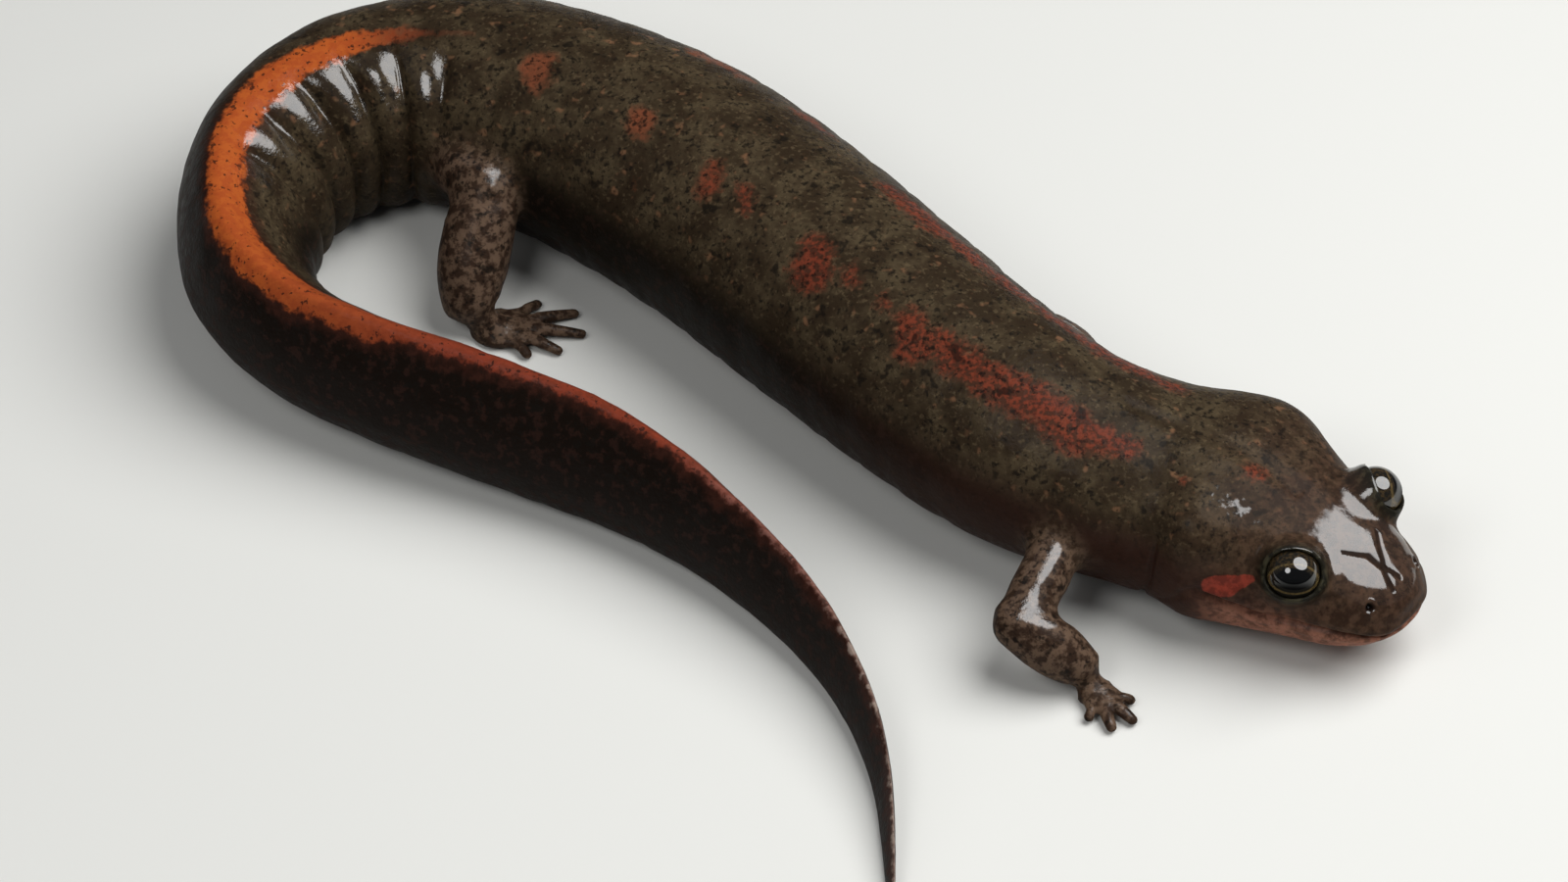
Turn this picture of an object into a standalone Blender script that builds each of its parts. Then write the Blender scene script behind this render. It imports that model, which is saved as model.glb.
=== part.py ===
"""A southern dusky salamander at life size, as a still museum model lying on a flat floor.

The trunk, head and tail are lengths of one body, lofted along a bent spine, and each leg is three
pieces: upper limb, lower limb and foot. Sizes are in millimetres until the meshes are made. +Z is up,
the floor is at z = 0, and the head points towards +X and a little towards -Y.
"""

import math

import bmesh
import bpy
import numpy as np

MM = 0.001
GAP = 0.3
MERGE = 0.01
CUTTER = 9.0
FLOOR = 0.0

# The plan of the spine is drawn from a point near the middle of the animal, and the origin is then put
# on the floor at the middle of the model's outline.
ORIGIN = np.array([0.12, 4.715])

# The backbone's plan, from the snout along the trunk, round the hips and back along the tail.
SPINE = np.array([
    (25.6, -9.15),
    (22.6, -6.8),
    (19.8, -4.7),
    (16.7, -3.0),
    (13.6, -2.0),
    (10.5, -0.4),
    (7.0, 2.7),
    (3.5, 6.6),
    (0.0, 10.6),
    (-4.2, 14.9),
    (-8.4, 18.0),
    (-12.6, 20.1),
    (-16.6, 20.6),
    (-20.1, 19.2),
    (-22.4, 16.2),
    (-23.1, 12.5),
    (-22.5, 9.3),
    (-20.6, 6.8),
    (-17.7, 4.8),
    (-14.5, 3.2),
    (-11.1, 1.6),
    (-7.7, -0.1),
    (-4.4, -2.4),
    (-1.5, -5.2),
    (0.7, -7.9),
    (2.35, -10.7),
    (3.35, -13.3),
    (3.95, -16.0),
    (4.2, -19.0),
    (4.3, -24.0),
])

# Body sizes at places along the spine: distance from the snout, half width, height of the back, of the
# belly and of the widest level. A belly below the floor is pressed flat on it. TIP gives the sizes at
# the tail's end.
SECTIONS = np.array([
    (0.0, 0.0, 2.9, 2.9, 2.9),
    (0.25, 1.3, 3.85, 2.2, 2.9),
    (1.0, 2.2, 4.75, 1.6, 2.9),
    (2.0, 2.8, 5.3, 1.3, 3.0),
    (4.2, 3.5, 6.1, 1.0, 3.05),
    (6.5, 4.35, 6.9, 0.75, 3.2),
    (8.8, 4.95, 7.5, 0.5, 3.4),
    (11.5, 4.7, 7.9, 0.35, 3.7),
    (14.5, 4.7, 8.6, 0.15, 4.1),
    (19.0, 4.9, 9.4, -0.05, 4.5),
    (28.0, 5.3, 9.9, -0.15, 4.8),
    (38.0, 5.5, 10.0, -0.15, 4.8),
    (47.0, 5.05, 9.6, -0.15, 4.7),
    (54.0, 4.0, 8.8, -0.12, 4.4),
    (60.0, 3.15, 8.2, -0.10, 3.9),
    (69.0, 2.65, 7.8, -0.10, 3.4),
    (78.0, 2.45, 7.3, -0.10, 3.0),
    (88.0, 1.85, 6.2, -0.10, 2.5),
    (95.0, 1.15, 4.85, -0.10, 1.85),
    (101.0, 0.65, 3.3, -0.10, 1.25),
    (106.0, 0.36, 2.1, -0.10, 0.8),
    (110.0, 0.21, 1.2, -0.08, 0.45),
])
TIP = (0.09, 0.4, 0.0, 0.2)

# The tail leans out of its bend, and its upper half narrows to a keel.
LEAN_PLACES = (51.0, 61.0, 72.0, 84.0, 92.0, 98.0, 106.0, 112.0)
LEAN_SIZES = (0.0, 1.0, 0.9, 0.05, 0.1, -0.1, -0.2, -0.1)
KEEL_START = 50.0
KEEL_FULL = 75.0
KEEL_DEPTH = 0.55
KEEL_POWER = 1.5

# The head is squarer across than an ellipse, from behind the snout's tip to the neck.
SQUARE_FULL = 0.2
SQUARE_START = 0.4
SQUARE_WHOLE = 2.6
SQUARE_EASES = 9.0
SQUARE_END = 15.0

# The folds between the ribs, and the deeper ones on the inner side of the hip bend. A fold is deepest on
# the flank and fades out towards the back and the belly.
FOLD_FIRST = 19.5
FOLD_STEP = 2.1
FOLD_COUNT = 14
FOLD_DEPTH = 0.14
FOLD_WIDTH = 0.42
FLANK_GAIN = 1.6
FLANK_EDGE = 0.6
BEND_FOLD_STEP = 1.9
BEND_FOLD_COUNT = 9
BEND_FOLD_DEPTH = 0.28

# The snout stands a little in front of the lower jaw, and the mouth is a cut along the jaw's side. Its
# line has an angle from the back at each place, near MOUTH_ANGLE, and the rings' points follow it.
OVERBITE = 0.22
OVERBITE_LENGTH = 1.2
OVERBITE_EASE = 0.3
MOUTH_PLACES = np.array([0.0, 1.1, 4.7, 6.0, 8.0, 14.0])
MOUTH_TURNS = np.array([100.0, 88.0, 91.0, 88.0, 86.0, 98.0])
MOUTH_ANGLE = 90.0
MOUTH_REACH = 30.0
MOUTH_WIDTH = 5.0
MOUTH_DEPTH = 0.24
MOUTH_CORNER = 7.8
MOUTH_EASE = 0.8
MOUTH_START = 0.5
MOUTH_CLEARANCE = 8.5

EYE_PLACE = 3.95
EYE_OUT = 2.93
EYE_HEIGHT = 5.4
EYE_RADIUS = 1.1
EYE_FORWARD = 35.0
EYE_UP = 42.0
SOCKET_RADIUS = 1.37
LID_RADIUS = 1.66
LID_INSET = 0.55
NOSTRIL_PLACE = 1.05
NOSTRIL_ANGLE = 46.0
NOSTRIL_RADIUS = 0.24

# Where the body is parted, from the snout back, and the number of rings in each length. Lengths without a
# number have their rings on the folds and midway between them. Rings lie closer on the snout's tip.
LENGTHS = (
    ("head", 0.0, 10.2, 22),
    ("neck", 10.2, 14.6, 6),
    ("trunk_front", 14.6, 25.0, None),
    ("trunk_middle", 25.0, 36.0, None),
    ("trunk_rear", 36.0, 46.5, None),
    ("hips", 46.5, 53.0, None),
    ("tail_1", 53.0, 58.5, None),
    ("tail_2", 58.5, 64.0, None),
    ("tail_3", 64.0, 70.0, 7),
    ("tail_4", 70.0, 78.0, 7),
    ("tail_5", 78.0, 88.0, 8),
    ("tail_6", 88.0, 99.0, 9),
    ("tail_7", 99.0, None, 10),
)
TAIL_START = 53.0
NOSE_LENGTH = 2.4
NOSE_RINGS = 9
HEAD_AROUND = 32
TRUNK_AROUND = 28
TAIL_AROUND = 20
RING_CLEARANCE = 0.3

# Limbs: the distance between rings, and the rings of a rounded end, each with its share of the way from
# the round end's start to its tip and its share of the radius.
LIMB_STEP = 0.55
ROUND_END = ((0.62, 0.82), (0.9, 0.5), (1.0, 0.16))
SHARP_ANGLE = 40.0


def natural_spline(points, step=0.05):
    """Points close together on the natural cubic through the given ones, with the length up to each."""
    places = np.concatenate([[0.0], np.cumsum(np.linalg.norm(np.diff(points, axis=0), axis=1))])
    spans = np.diff(places)
    count = len(points)
    system = np.eye(count)
    slopes = np.zeros_like(points)
    for i in range(1, count - 1):
        system[i, i - 1:i + 2] = spans[i - 1], 2.0 * (spans[i - 1] + spans[i]), spans[i]
        rise = (points[i + 1] - points[i]) / spans[i]
        slopes[i] = 6.0 * (rise - (points[i] - points[i - 1]) / spans[i - 1])
    bends = np.linalg.solve(system, slopes)
    at = np.arange(0.0, places[-1], step)
    k = np.clip(np.searchsorted(places, at, side="right") - 1, 0, count - 2)
    x = (at - places[k])[:, None]
    h = spans[k][:, None]
    first = (points[k + 1] - points[k]) / h - h * (2.0 * bends[k] + bends[k + 1]) / 6.0
    line = points[k] + first * x + bends[k] * x ** 2 / 2.0 + (bends[k + 1] - bends[k]) * x ** 3 / (6.0 * h)
    lengths = np.concatenate([[0.0], np.cumsum(np.linalg.norm(np.diff(line, axis=0), axis=1))])
    return lengths, line


def eased(at, places, sizes):
    """A smooth curve through sizes at places that never swings past them and stays level past its ends."""
    at = np.clip(at, places[0], places[-1])
    spans = np.diff(places)
    rises = np.diff(sizes) / spans
    tangents = np.zeros(len(places))
    tangents[0] = rises[0]
    for i in range(1, len(places) - 1):
        if rises[i - 1] * rises[i] > 0.0:
            before = 2.0 * spans[i] + spans[i - 1]
            after = spans[i] + 2.0 * spans[i - 1]
            tangents[i] = (before + after) / (before / rises[i - 1] + after / rises[i])
    k = np.clip(np.searchsorted(places, at, side="right") - 1, 0, len(places) - 2)
    h = spans[k]
    x = (at - places[k]) / h
    start = (2.0 * x ** 3 - 3.0 * x ** 2 + 1.0) * sizes[k] + (x ** 3 - 2.0 * x ** 2 + x) * h * tangents[k]
    end = (3.0 * x ** 2 - 2.0 * x ** 3) * sizes[k + 1] + (x ** 3 - x ** 2) * h * tangents[k + 1]
    return start + end


def step_up(x, low, high):
    """0 below low and 1 above high, with a smooth rise between them."""
    t = np.clip((x - low) / (high - low), 0.0, 1.0)
    return t * t * (3.0 - 2.0 * t)


SPINE_PLACES, SPINE_LINE = natural_spline(SPINE - ORIGIN)
BODY_LENGTH = SPINE_PLACES[-1]
SIZES = np.vstack([SECTIONS, (BODY_LENGTH, *TIP)])


def along(places):
    """Points on the spine's plan, the unit vectors towards the tail, and those to the animal's left."""
    reach = 0.4

    def at(s):
        return np.stack([np.interp(s, SPINE_PLACES, SPINE_LINE[:, k]) for k in (0, 1)], axis=1)

    back = at(np.minimum(places + reach, BODY_LENGTH)) - at(np.maximum(places - reach, 0.0))
    back /= np.linalg.norm(back, axis=1)[:, None]
    left = np.stack([back[:, 1], -back[:, 0]], axis=1)
    return at(places), back, left


def sizes_at(places):
    """Half width, back, belly and level at each place, eased over the root of the distance.

    The root makes the snout's tip round, as a width that grows with it is a parabola's.
    """
    return [eased(np.sqrt(places), np.sqrt(SIZES[:, 0]), SIZES[:, k])[:, None] for k in (1, 2, 3, 4)]


def fold_places():
    """Where the folds between the ribs lie along the spine, and those on the inner side of the bend."""
    folds = FOLD_FIRST + FOLD_STEP * np.arange(FOLD_COUNT)
    return folds, folds[-1] + BEND_FOLD_STEP * (1.0 + np.arange(BEND_FOLD_COUNT))


def fold_depths(places, sine):
    """How far the skin is drawn in at each place and angle by the folds."""
    folds, bends = fold_places()
    flank = np.clip(np.abs(sine) * FLANK_GAIN - FLANK_EDGE, 0.0, 1.0)
    outer = np.exp(-((places[:, None] - folds) / FOLD_WIDTH) ** 2).sum(axis=1)
    inner = np.exp(-((places[:, None] - bends) / FOLD_WIDTH) ** 2).sum(axis=1)
    right_side = np.clip(-sine, 0.0, 1.0)
    return FOLD_DEPTH * outer[:, None] * flank + BEND_FOLD_DEPTH * inner[:, None] * right_side


def mouth_depths(places, angles):
    """How far the skin is drawn in at each place and angle by the mouth."""
    apart = np.degrees(np.abs(angles)) - eased(places, MOUTH_PLACES, MOUTH_TURNS)[:, None]
    within = step_up(places, 0.0, MOUTH_START)
    within *= 1.0 - step_up(places, MOUTH_CORNER - MOUTH_EASE, MOUTH_CORNER)
    return MOUTH_DEPTH * within[:, None] * np.exp(-(apart / MOUTH_WIDTH) ** 2)


def body_grid(places, angles, swell=0.0):
    """The body's surface at each place along the spine and each angle from the back, positive to the left.

    The angles are one row for all rings or a row for each. A section is an ellipse above its widest level
    and another below it, narrowed above to a keel on the tail, drawn in at the folds and the mouth, and
    pressed flat where it meets the floor.
    """
    angles = np.broadcast_to(angles, (len(places), np.shape(angles)[-1]))
    centre, back, left = along(places)
    width, top, belly, level = sizes_at(places)
    sine = np.sin(angles)
    cosine = np.cos(angles)
    square = step_up(places, SQUARE_START, SQUARE_WHOLE) * (1.0 - step_up(places, SQUARE_EASES, SQUARE_END))
    power = 1.0 - SQUARE_FULL * square[:, None]
    around = np.sign(sine) * np.abs(sine) ** power
    upward = np.sign(cosine) * np.abs(cosine) ** power
    keel = KEEL_DEPTH * step_up(places, KEEL_START, KEEL_FULL)[:, None]
    half = (width + swell) * (1.0 - keel * np.clip(cosine, 0.0, 1.0) ** KEEL_POWER)
    drawn_in = fold_depths(places, sine) + mouth_depths(places, angles)
    lean = np.interp(places, LEAN_PLACES, LEAN_SIZES)[:, None]
    across = half * around * (1.0 - drawn_in / np.maximum(half, 1.0)) + lean * cosine
    height = level + np.where(cosine > 0.0, top - level + swell, level - belly + swell) * upward
    if not swell:
        height = np.maximum(height, FLOOR)
    overbite = OVERBITE * np.exp(-places / OVERBITE_LENGTH) * step_up(places, 0.0, OVERBITE_EASE)
    forward = overbite[:, None] * cosine
    plan = centre[:, None] + left[:, None] * across[..., None] - back[:, None] * forward[..., None]
    return np.concatenate([plan, height[..., None]], axis=-1)


def on_body(place, out, height):
    """A point at a distance to the left of the spine (to the right where negative) and at a height."""
    centre, _, left = along(np.array([place]))
    return np.array([*(centre[0] + left[0] * out), height])


def new_object(name, points, faces, material=None):
    """A mesh object from points in millimetres, with its faces turned outwards."""
    mesh = bpy.data.meshes.new(name)
    mesh.from_pydata([tuple(float(x) * MM for x in p) for p in points], [], faces)
    shape = bmesh.new()
    shape.from_mesh(mesh)
    bmesh.ops.recalc_face_normals(shape, faces=shape.faces[:])
    shape.to_mesh(mesh)
    shape.free()
    if material:
        mesh.materials.append(material)
    made = bpy.data.objects.new(name, mesh)
    bpy.context.scene.collection.objects.link(made)
    return made


def loft(name, grid, material=None, pointed_start=False):
    """A closed solid from rings of points. A pointed start gathers the first ring into one point."""
    rings, around = grid.shape[:2]
    points = [tuple(p) for p in grid.reshape(-1, 3)]
    faces = []
    first = 1 if pointed_start else 0
    if pointed_start:
        points = [tuple(grid[0].mean(axis=0))] + points[around:]
        rings -= 1
        faces += [(0, 1 + j, 1 + (j + 1) % around) for j in range(around)]
    else:
        faces.append(tuple(reversed(range(around))))
    for i in range(rings - 1):
        for j in range(around):
            a = first + i * around + j
            b = first + i * around + (j + 1) % around
            faces.append((a, b, b + around, a + around))
    last = first + (rings - 1) * around
    faces.append(tuple(range(last, last + around)))
    return new_object(name, points, faces, material)


def ball(name, centre, radii, material=None, rings=10, around=16, axis=(0.0, 0.0, 1.0)):
    """An ellipsoid whose poles lie on an axis."""
    axis = np.array(axis, float)
    axis /= np.linalg.norm(axis)
    side = np.cross(axis, (0.0, 0.0, 1.0) if abs(axis[2]) < 0.9 else (1.0, 0.0, 0.0))
    side /= np.linalg.norm(side)
    third = np.cross(axis, side)
    radii = np.broadcast_to(np.asarray(radii, float), (3,))
    points = [np.array(centre) + axis * radii[2], np.array(centre) - axis * radii[2]]
    for i in range(1, rings):
        polar = math.pi * i / rings
        for j in range(around):
            turn = 2.0 * math.pi * j / around
            flat = radii[0] * math.cos(turn) * side + radii[1] * math.sin(turn) * third
            points.append(np.array(centre) + flat * math.sin(polar) + axis * radii[2] * math.cos(polar))
    faces = []
    for j in range(around):
        k = (j + 1) % around
        faces.append((0, 2 + j, 2 + k))
        tail = 2 + (rings - 2) * around
        faces.append((1, tail + k, tail + j))
        for i in range(rings - 2):
            row = 2 + i * around
            faces.append((row + j, row + around + j, row + around + k, row + k))
    return new_object(name, points, faces, material)


def tube(name, points, radii, material=None, around=14, round_end=False):
    """A limb along a smooth curve through points, with its own radius at each of them."""
    points = np.array(points, float)
    lengths, line = natural_spline(points, 0.02)
    knots = lengths[[np.argmin(np.linalg.norm(line - p, axis=1)) for p in points]]
    end = lengths[-1]
    at = np.linspace(0.0, end, max(4, int(round(end / LIMB_STEP)) + 1))
    if round_end:
        ways, shares = np.array(ROUND_END).T
        at = np.concatenate([at[at < end - 1.2 * radii[-1]], end - radii[-1] * (1.0 - ways)])
    size = eased(at, knots, np.array(radii, float))
    if round_end:
        size[-len(shares):] *= shares
    grid = np.empty((len(at), around, 3))
    for i, s in enumerate(at):
        here = np.array([np.interp(s, lengths, line[:, k]) for k in range(3)])
        ahead = np.array([np.interp(min(s + 0.1, lengths[-1]), lengths, line[:, k]) for k in range(3)])
        behind = np.array([np.interp(max(s - 0.1, 0.0), lengths, line[:, k]) for k in range(3)])
        run = (ahead - behind) / np.linalg.norm(ahead - behind)
        side = np.cross(run, (0.0, 0.0, 1.0))
        side /= np.linalg.norm(side)
        rise = np.cross(side, run)
        for j in range(around):
            turn = 2.0 * math.pi * j / around
            grid[i, j] = here + size[i] * (math.cos(turn) * side + math.sin(turn) * rise)
    return loft(name, grid, material)


def apply_boolean(target, tool, operation):
    """Applies one Boolean to target and removes the tool."""
    modifier = target.modifiers.new("cut", "BOOLEAN")
    modifier.operation = operation
    modifier.object = tool
    modifier.solver = "EXACT"
    made = bpy.data.meshes.new_from_object(target.evaluated_get(bpy.context.evaluated_depsgraph_get()))
    target.modifiers.clear()
    target.data = made
    bpy.data.objects.remove(tool)


def fuse(target, pieces):
    """Joins closed pieces to target with one Boolean union, and removes them."""
    group = bpy.data.collections.new("pieces")
    for piece in pieces:
        bpy.context.scene.collection.objects.unlink(piece)
        group.objects.link(piece)
    modifier = target.modifiers.new("join", "BOOLEAN")
    modifier.operation = "UNION"
    modifier.operand_type = "COLLECTION"
    modifier.collection = group
    modifier.solver = "MANIFOLD"
    made = bpy.data.meshes.new_from_object(target.evaluated_get(bpy.context.evaluated_depsgraph_get()))
    target.modifiers.clear()
    target.data = made
    for piece in pieces:
        bpy.data.objects.remove(piece)
    bpy.data.collections.remove(group)


def keep_largest(target):
    """Merges the points that a cut leaves nearly together, and keeps the largest closed surface."""
    shape = bmesh.new()
    shape.from_mesh(target.data)
    bmesh.ops.remove_doubles(shape, verts=shape.verts[:], dist=MERGE * MM)
    bmesh.ops.dissolve_degenerate(shape, edges=shape.edges[:], dist=MERGE * MM)
    waiting = set(shape.verts)
    parts = []
    while waiting:
        seed = waiting.pop()
        part = {seed}
        edge = [seed]
        while edge:
            for link in edge.pop().link_edges:
                for vertex in link.verts:
                    if vertex in waiting:
                        waiting.discard(vertex)
                        part.add(vertex)
                        edge.append(vertex)
        parts.append(part)
    parts.sort(key=len, reverse=True)
    for part in parts[1:]:
        bmesh.ops.delete(shape, geom=list(part), context="VERTS")
    shape.to_mesh(target.data)
    shape.free()


def cut_beyond(target, point, normal):
    """Cuts away all of a limb that lies beyond a plane, on the side that the plane's normal points to."""
    normal = normal / np.linalg.norm(normal)
    side = np.cross(normal, (0.0, 0.0, 1.0))
    side /= np.linalg.norm(side)
    up = np.cross(side, normal)
    corners = [point + normal * n + side * a + up * b for n in (0.0, CUTTER) for a, b in
               ((-CUTTER, -CUTTER), (CUTTER, -CUTTER), (CUTTER, CUTTER), (-CUTTER, CUTTER))]
    sides = [(0, 1, 5, 4), (1, 2, 6, 5), (2, 3, 7, 6), (3, 0, 4, 7)]
    apply_boolean(target, new_object("plane_cutter", corners, [(3, 2, 1, 0), (4, 5, 6, 7), *sides]),
                  "DIFFERENCE")


def press_on_floor(target):
    """Presses what lies under the floor flat on it, which makes a sole."""
    for vertex in target.data.vertices:
        vertex.co.z = max(vertex.co.z, FLOOR)


def skin_material(name, colour, roughness=0.35):
    """A Principled surface of one colour."""
    made = bpy.data.materials.new(name)
    made.use_nodes = True
    shader = made.node_tree.nodes["Principled BSDF"]
    shader.inputs["Base Color"].default_value = (*colour, 1.0)
    shader.inputs["Roughness"].default_value = roughness
    made.diffuse_color = (*colour, 1.0)
    return made


for old in list(bpy.data.objects):
    bpy.data.objects.remove(old)

HEAD_SKIN = skin_material("head_skin", (0.065, 0.036, 0.026))
BODY_SKIN = skin_material("body_skin", (0.050, 0.038, 0.028))
TAIL_SKIN = skin_material("tail_skin", (0.060, 0.034, 0.024))
LEG_SKIN = skin_material("leg_skin", (0.075, 0.047, 0.036))
EYE_BLACK = skin_material("eye_black", (0.010, 0.009, 0.008), 0.05)

# The lengths of the body.


def rings_of(start, end, count):
    """Places of the rings of one length, with half the gap left off at each end."""
    first = start + GAP / 2.0
    last = end - GAP / 2.0
    if count:
        return np.linspace(first, last, count)
    folds, bends = fold_places()
    marks = np.concatenate([folds, folds + FOLD_STEP / 2.0, bends, bends + BEND_FOLD_STEP / 2.0])
    inside = np.sort(marks[(marks > first + RING_CLEARANCE) & (marks < last - RING_CLEARANCE)])
    return np.concatenate([[first], inside, [last]])


def ring_angles(count):
    """Angles round a section, from the right of the belly to its left, evenly spaced."""
    return (np.arange(count) + 0.5) / count * 2.0 * math.pi - math.pi


def head_angles(places):
    """Even angles for each ring, with closer ones on the two lines of the mouth, which they follow."""
    spread = np.array([-MOUTH_WIDTH, 0.0, MOUTH_WIDTH])
    lines = np.concatenate([spread - MOUTH_ANGLE, spread + MOUTH_ANGLE])
    even = np.degrees(ring_angles(HEAD_AROUND))
    even = even[np.abs(np.abs(even) - MOUTH_ANGLE) > MOUTH_CLEARANCE]
    angles = np.sort(np.concatenate([even, lines]))
    near = np.exp(-((np.abs(angles) - MOUTH_ANGLE) / MOUTH_REACH) ** 2)
    shift = (eased(places, MOUTH_PLACES, MOUTH_TURNS)[:, None] - MOUTH_ANGLE) * near
    return np.radians(angles + np.sign(angles) * shift)


def make_lengths():
    """The head, neck, trunk, hips and tail, each a closed loft along its own stretch of the spine."""
    made = {}
    for name, start, end, count in LENGTHS:
        if name == "head":
            nose = NOSE_LENGTH * np.linspace(0.0, 1.0, NOSE_RINGS) ** 2
            rest = np.linspace(NOSE_LENGTH, end - GAP / 2.0, count - NOSE_RINGS + 1)
            places = np.concatenate([nose, rest[1:]])
            made[name] = loft(name, body_grid(places, head_angles(places)), HEAD_SKIN, pointed_start=True)
            continue
        on_tail = start >= TAIL_START
        rings = rings_of(start, BODY_LENGTH if end is None else end, count)
        angles = ring_angles(TAIL_AROUND if on_tail else TRUNK_AROUND)
        made[name] = loft(name, body_grid(rings, angles), TAIL_SKIN if on_tail else BODY_SKIN)
    return made


def eye_axis(side):
    """The way an eye looks: outwards, turned forwards and up. side is 1 on the left and -1 on the right."""
    _, back, left = along(np.array([EYE_PLACE]))
    turn = math.radians(EYE_FORWARD)
    rise = math.radians(EYE_UP)
    flat = side * left[0] * math.cos(turn) - back[0] * math.sin(turn)
    return np.array([*(flat * math.cos(rise)), math.sin(rise)])


def make_eyes(head):
    """Raises a lid mound round each eye, sinks the socket in it, and sets the eyeball in the socket."""
    for side, letter in ((1, "left"), (-1, "right")):
        centre = on_body(EYE_PLACE, side * EYE_OUT, EYE_HEIGHT)
        axis = eye_axis(side)
        mound = ball("mound", centre - axis * LID_INSET, LID_RADIUS, rings=10, around=18, axis=axis)
        apply_boolean(head, mound, "UNION")
        socket = ball("socket", centre, SOCKET_RADIUS, rings=9, around=16, axis=axis)
        apply_boolean(head, socket, "DIFFERENCE")
        ball("eye_" + letter, centre, EYE_RADIUS, EYE_BLACK, rings=12, around=18, axis=axis)


def make_nostrils(head):
    """Two small pits on the front of the snout."""
    for side in (1, -1):
        angle = side * math.radians(NOSTRIL_ANGLE)
        spot = body_grid(np.array([NOSTRIL_PLACE]), np.array([angle]))[0, 0]
        pit = ball("nostril_pit", spot, NOSTRIL_RADIUS, rings=6, around=8)
        apply_boolean(head, pit, "DIFFERENCE")
    keep_largest(head)


# Legs. Each row is a joint's point and the limb's radius there, from inside the body to the ankle.

FRONT_LEFT = (
    ((12.3, 0.9, 4.3), 1.25),
    ((12.6, 3.8, 4.0), 1.1),
    ((11.2, 7.4, 2.7), 1.1),
    ((12.2, 7.2, 1.9), 1.15),
    ((13.2, 6.2, 0.95), 0.85),
)
FRONT_RIGHT = (
    ((12.0, -3.6, 4.3), 1.25),
    ((11.0, -6.4, 3.6), 1.1),
    ((9.6, -9.2, 2.8), 1.1),
    ((10.8, -9.9, 2.15), 1.2),
    ((12.3, -10.25, 1.0), 0.88),
)
HIND_LEFT = (
    ((-13.2, 21.4, 4.3), 1.7),
    ((-12.7, 24.1, 4.2), 1.6),
    ((-12.0, 26.6, 3.7), 1.4),
    ((-12.6, 27.6, 2.7), 1.4),
    ((-13.6, 28.5, 1.3), 1.1),
)
HIND_RIGHT = (
    ((-14.5, 18.2, 4.3), 1.7),
    ((-13.6, 15.9, 4.9), 1.55),
    ((-12.7, 14.2, 4.9), 1.45),
    ((-13.3, 12.2, 3.1), 1.55),
    ((-13.5, 10.5, 1.3), 1.1),
)

# Toes: each one's turn to the left of the foot's own heading, and its reach from the middle of the sole.
FRONT_TOES = ((-50.0, 1.4), (-18.0, 2.0), (10.0, 2.1), (42.0, 1.5))
HIND_TOES = ((-52.0, 2.0), (-27.0, 2.9), (-4.0, 3.6), (18.0, 3.4), (46.0, 2.3))

# Each leg: its name, joints, the heading of its foot in degrees, its toes, its sole's half width and
# half length, and the place along the spine where it grows from the body.
LEGS = (
    ("front_left", FRONT_LEFT, 0.0, FRONT_TOES, 0.85, 0.85, 16.0),
    ("front_right", FRONT_RIGHT, -55.0, FRONT_TOES, 0.85, 0.85, 16.0),
    ("hind_left", HIND_LEFT, 80.0, HIND_TOES, 1.15, 1.3, 48.0),
    ("hind_right", HIND_RIGHT, 0.0, HIND_TOES, 1.15, 1.3, 48.0),
)
PAST_BEND = 0.9
STUB_REACH = 1.1
STUB_SHARES = np.array([1.0, 0.93, 0.75])
SOLE_HEIGHT = 0.38
SOLE_HALF_HEIGHT = 0.5

# A toe starts a little outside and under the middle of the sole, and bends at its knuckle, half way out.
TOE_START = 0.15
TOE_START_DROP = 0.05
TOE_KNUCKLE = 0.5
TOE_SIZES = (0.36, 0.29, 0.2)
TOE_TIP_HEIGHT = 0.2

# The cutter that parts a limb from the body's side: how far it reaches each way along the spine, and how
# finely it is made. The last points of a limb's line give the way in which its foot goes on.
SIDE_REACH = 9.0
SIDE_STEP = 0.5
SIDE_AROUND = 48
LAST_POINTS = 6


def make_foot(name, ankle, ankle_radius, drop, heading, toes, half_width, half_length):
    """A low sole with tapered toes on the floor, joined to a straight stub that rises to the ankle."""
    turn = math.radians(heading)
    ahead = np.array([math.cos(turn), math.sin(turn), 0.0])
    middle = np.array([ankle[0], ankle[1], SOLE_HEIGHT]) + ahead * half_length
    start = ankle + drop * GAP
    reach = min(STUB_REACH, (start[2] - SOLE_HEIGHT) / -drop[2])
    foot = tube(name, [start, start + drop * reach * 0.5, start + drop * reach],
                ankle_radius * STUB_SHARES, LEG_SKIN, around=12)
    sole = ball("sole", middle, (half_width, half_length, SOLE_HALF_HEIGHT), rings=8, around=14)
    turn_to(sole, middle, turn)
    pieces = [sole]
    for spread, reach in toes:
        way = turn + math.radians(spread)
        point = np.array([math.cos(way), math.sin(way), 0.0])
        root = middle + point * TOE_START - np.array([0.0, 0.0, TOE_START_DROP])
        knuckle = middle + point * TOE_KNUCKLE * reach
        tip = middle + point * reach
        tip[2] = TOE_TIP_HEIGHT
        pieces.append(tube("toe", [root, knuckle, tip], TOE_SIZES, around=8, round_end=True))
    fuse(foot, pieces)
    press_on_floor(foot)
    keep_largest(foot)
    return foot


def turn_to(target, centre, turn):
    """Turns a mesh about the upright line through a centre, so that its own Y lies along a heading."""
    quarter = turn - math.pi / 2.0
    points = np.array([v.co for v in target.data.vertices]) / MM - centre
    cosine = math.cos(quarter)
    sine = math.sin(quarter)
    x = points[:, 0] * cosine - points[:, 1] * sine
    y = points[:, 0] * sine + points[:, 1] * cosine
    for vertex, px, py, pz in zip(target.data.vertices, x, y, points[:, 2]):
        vertex.co = np.array([px + centre[0], py + centre[1], pz + centre[2]]) * MM


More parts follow.
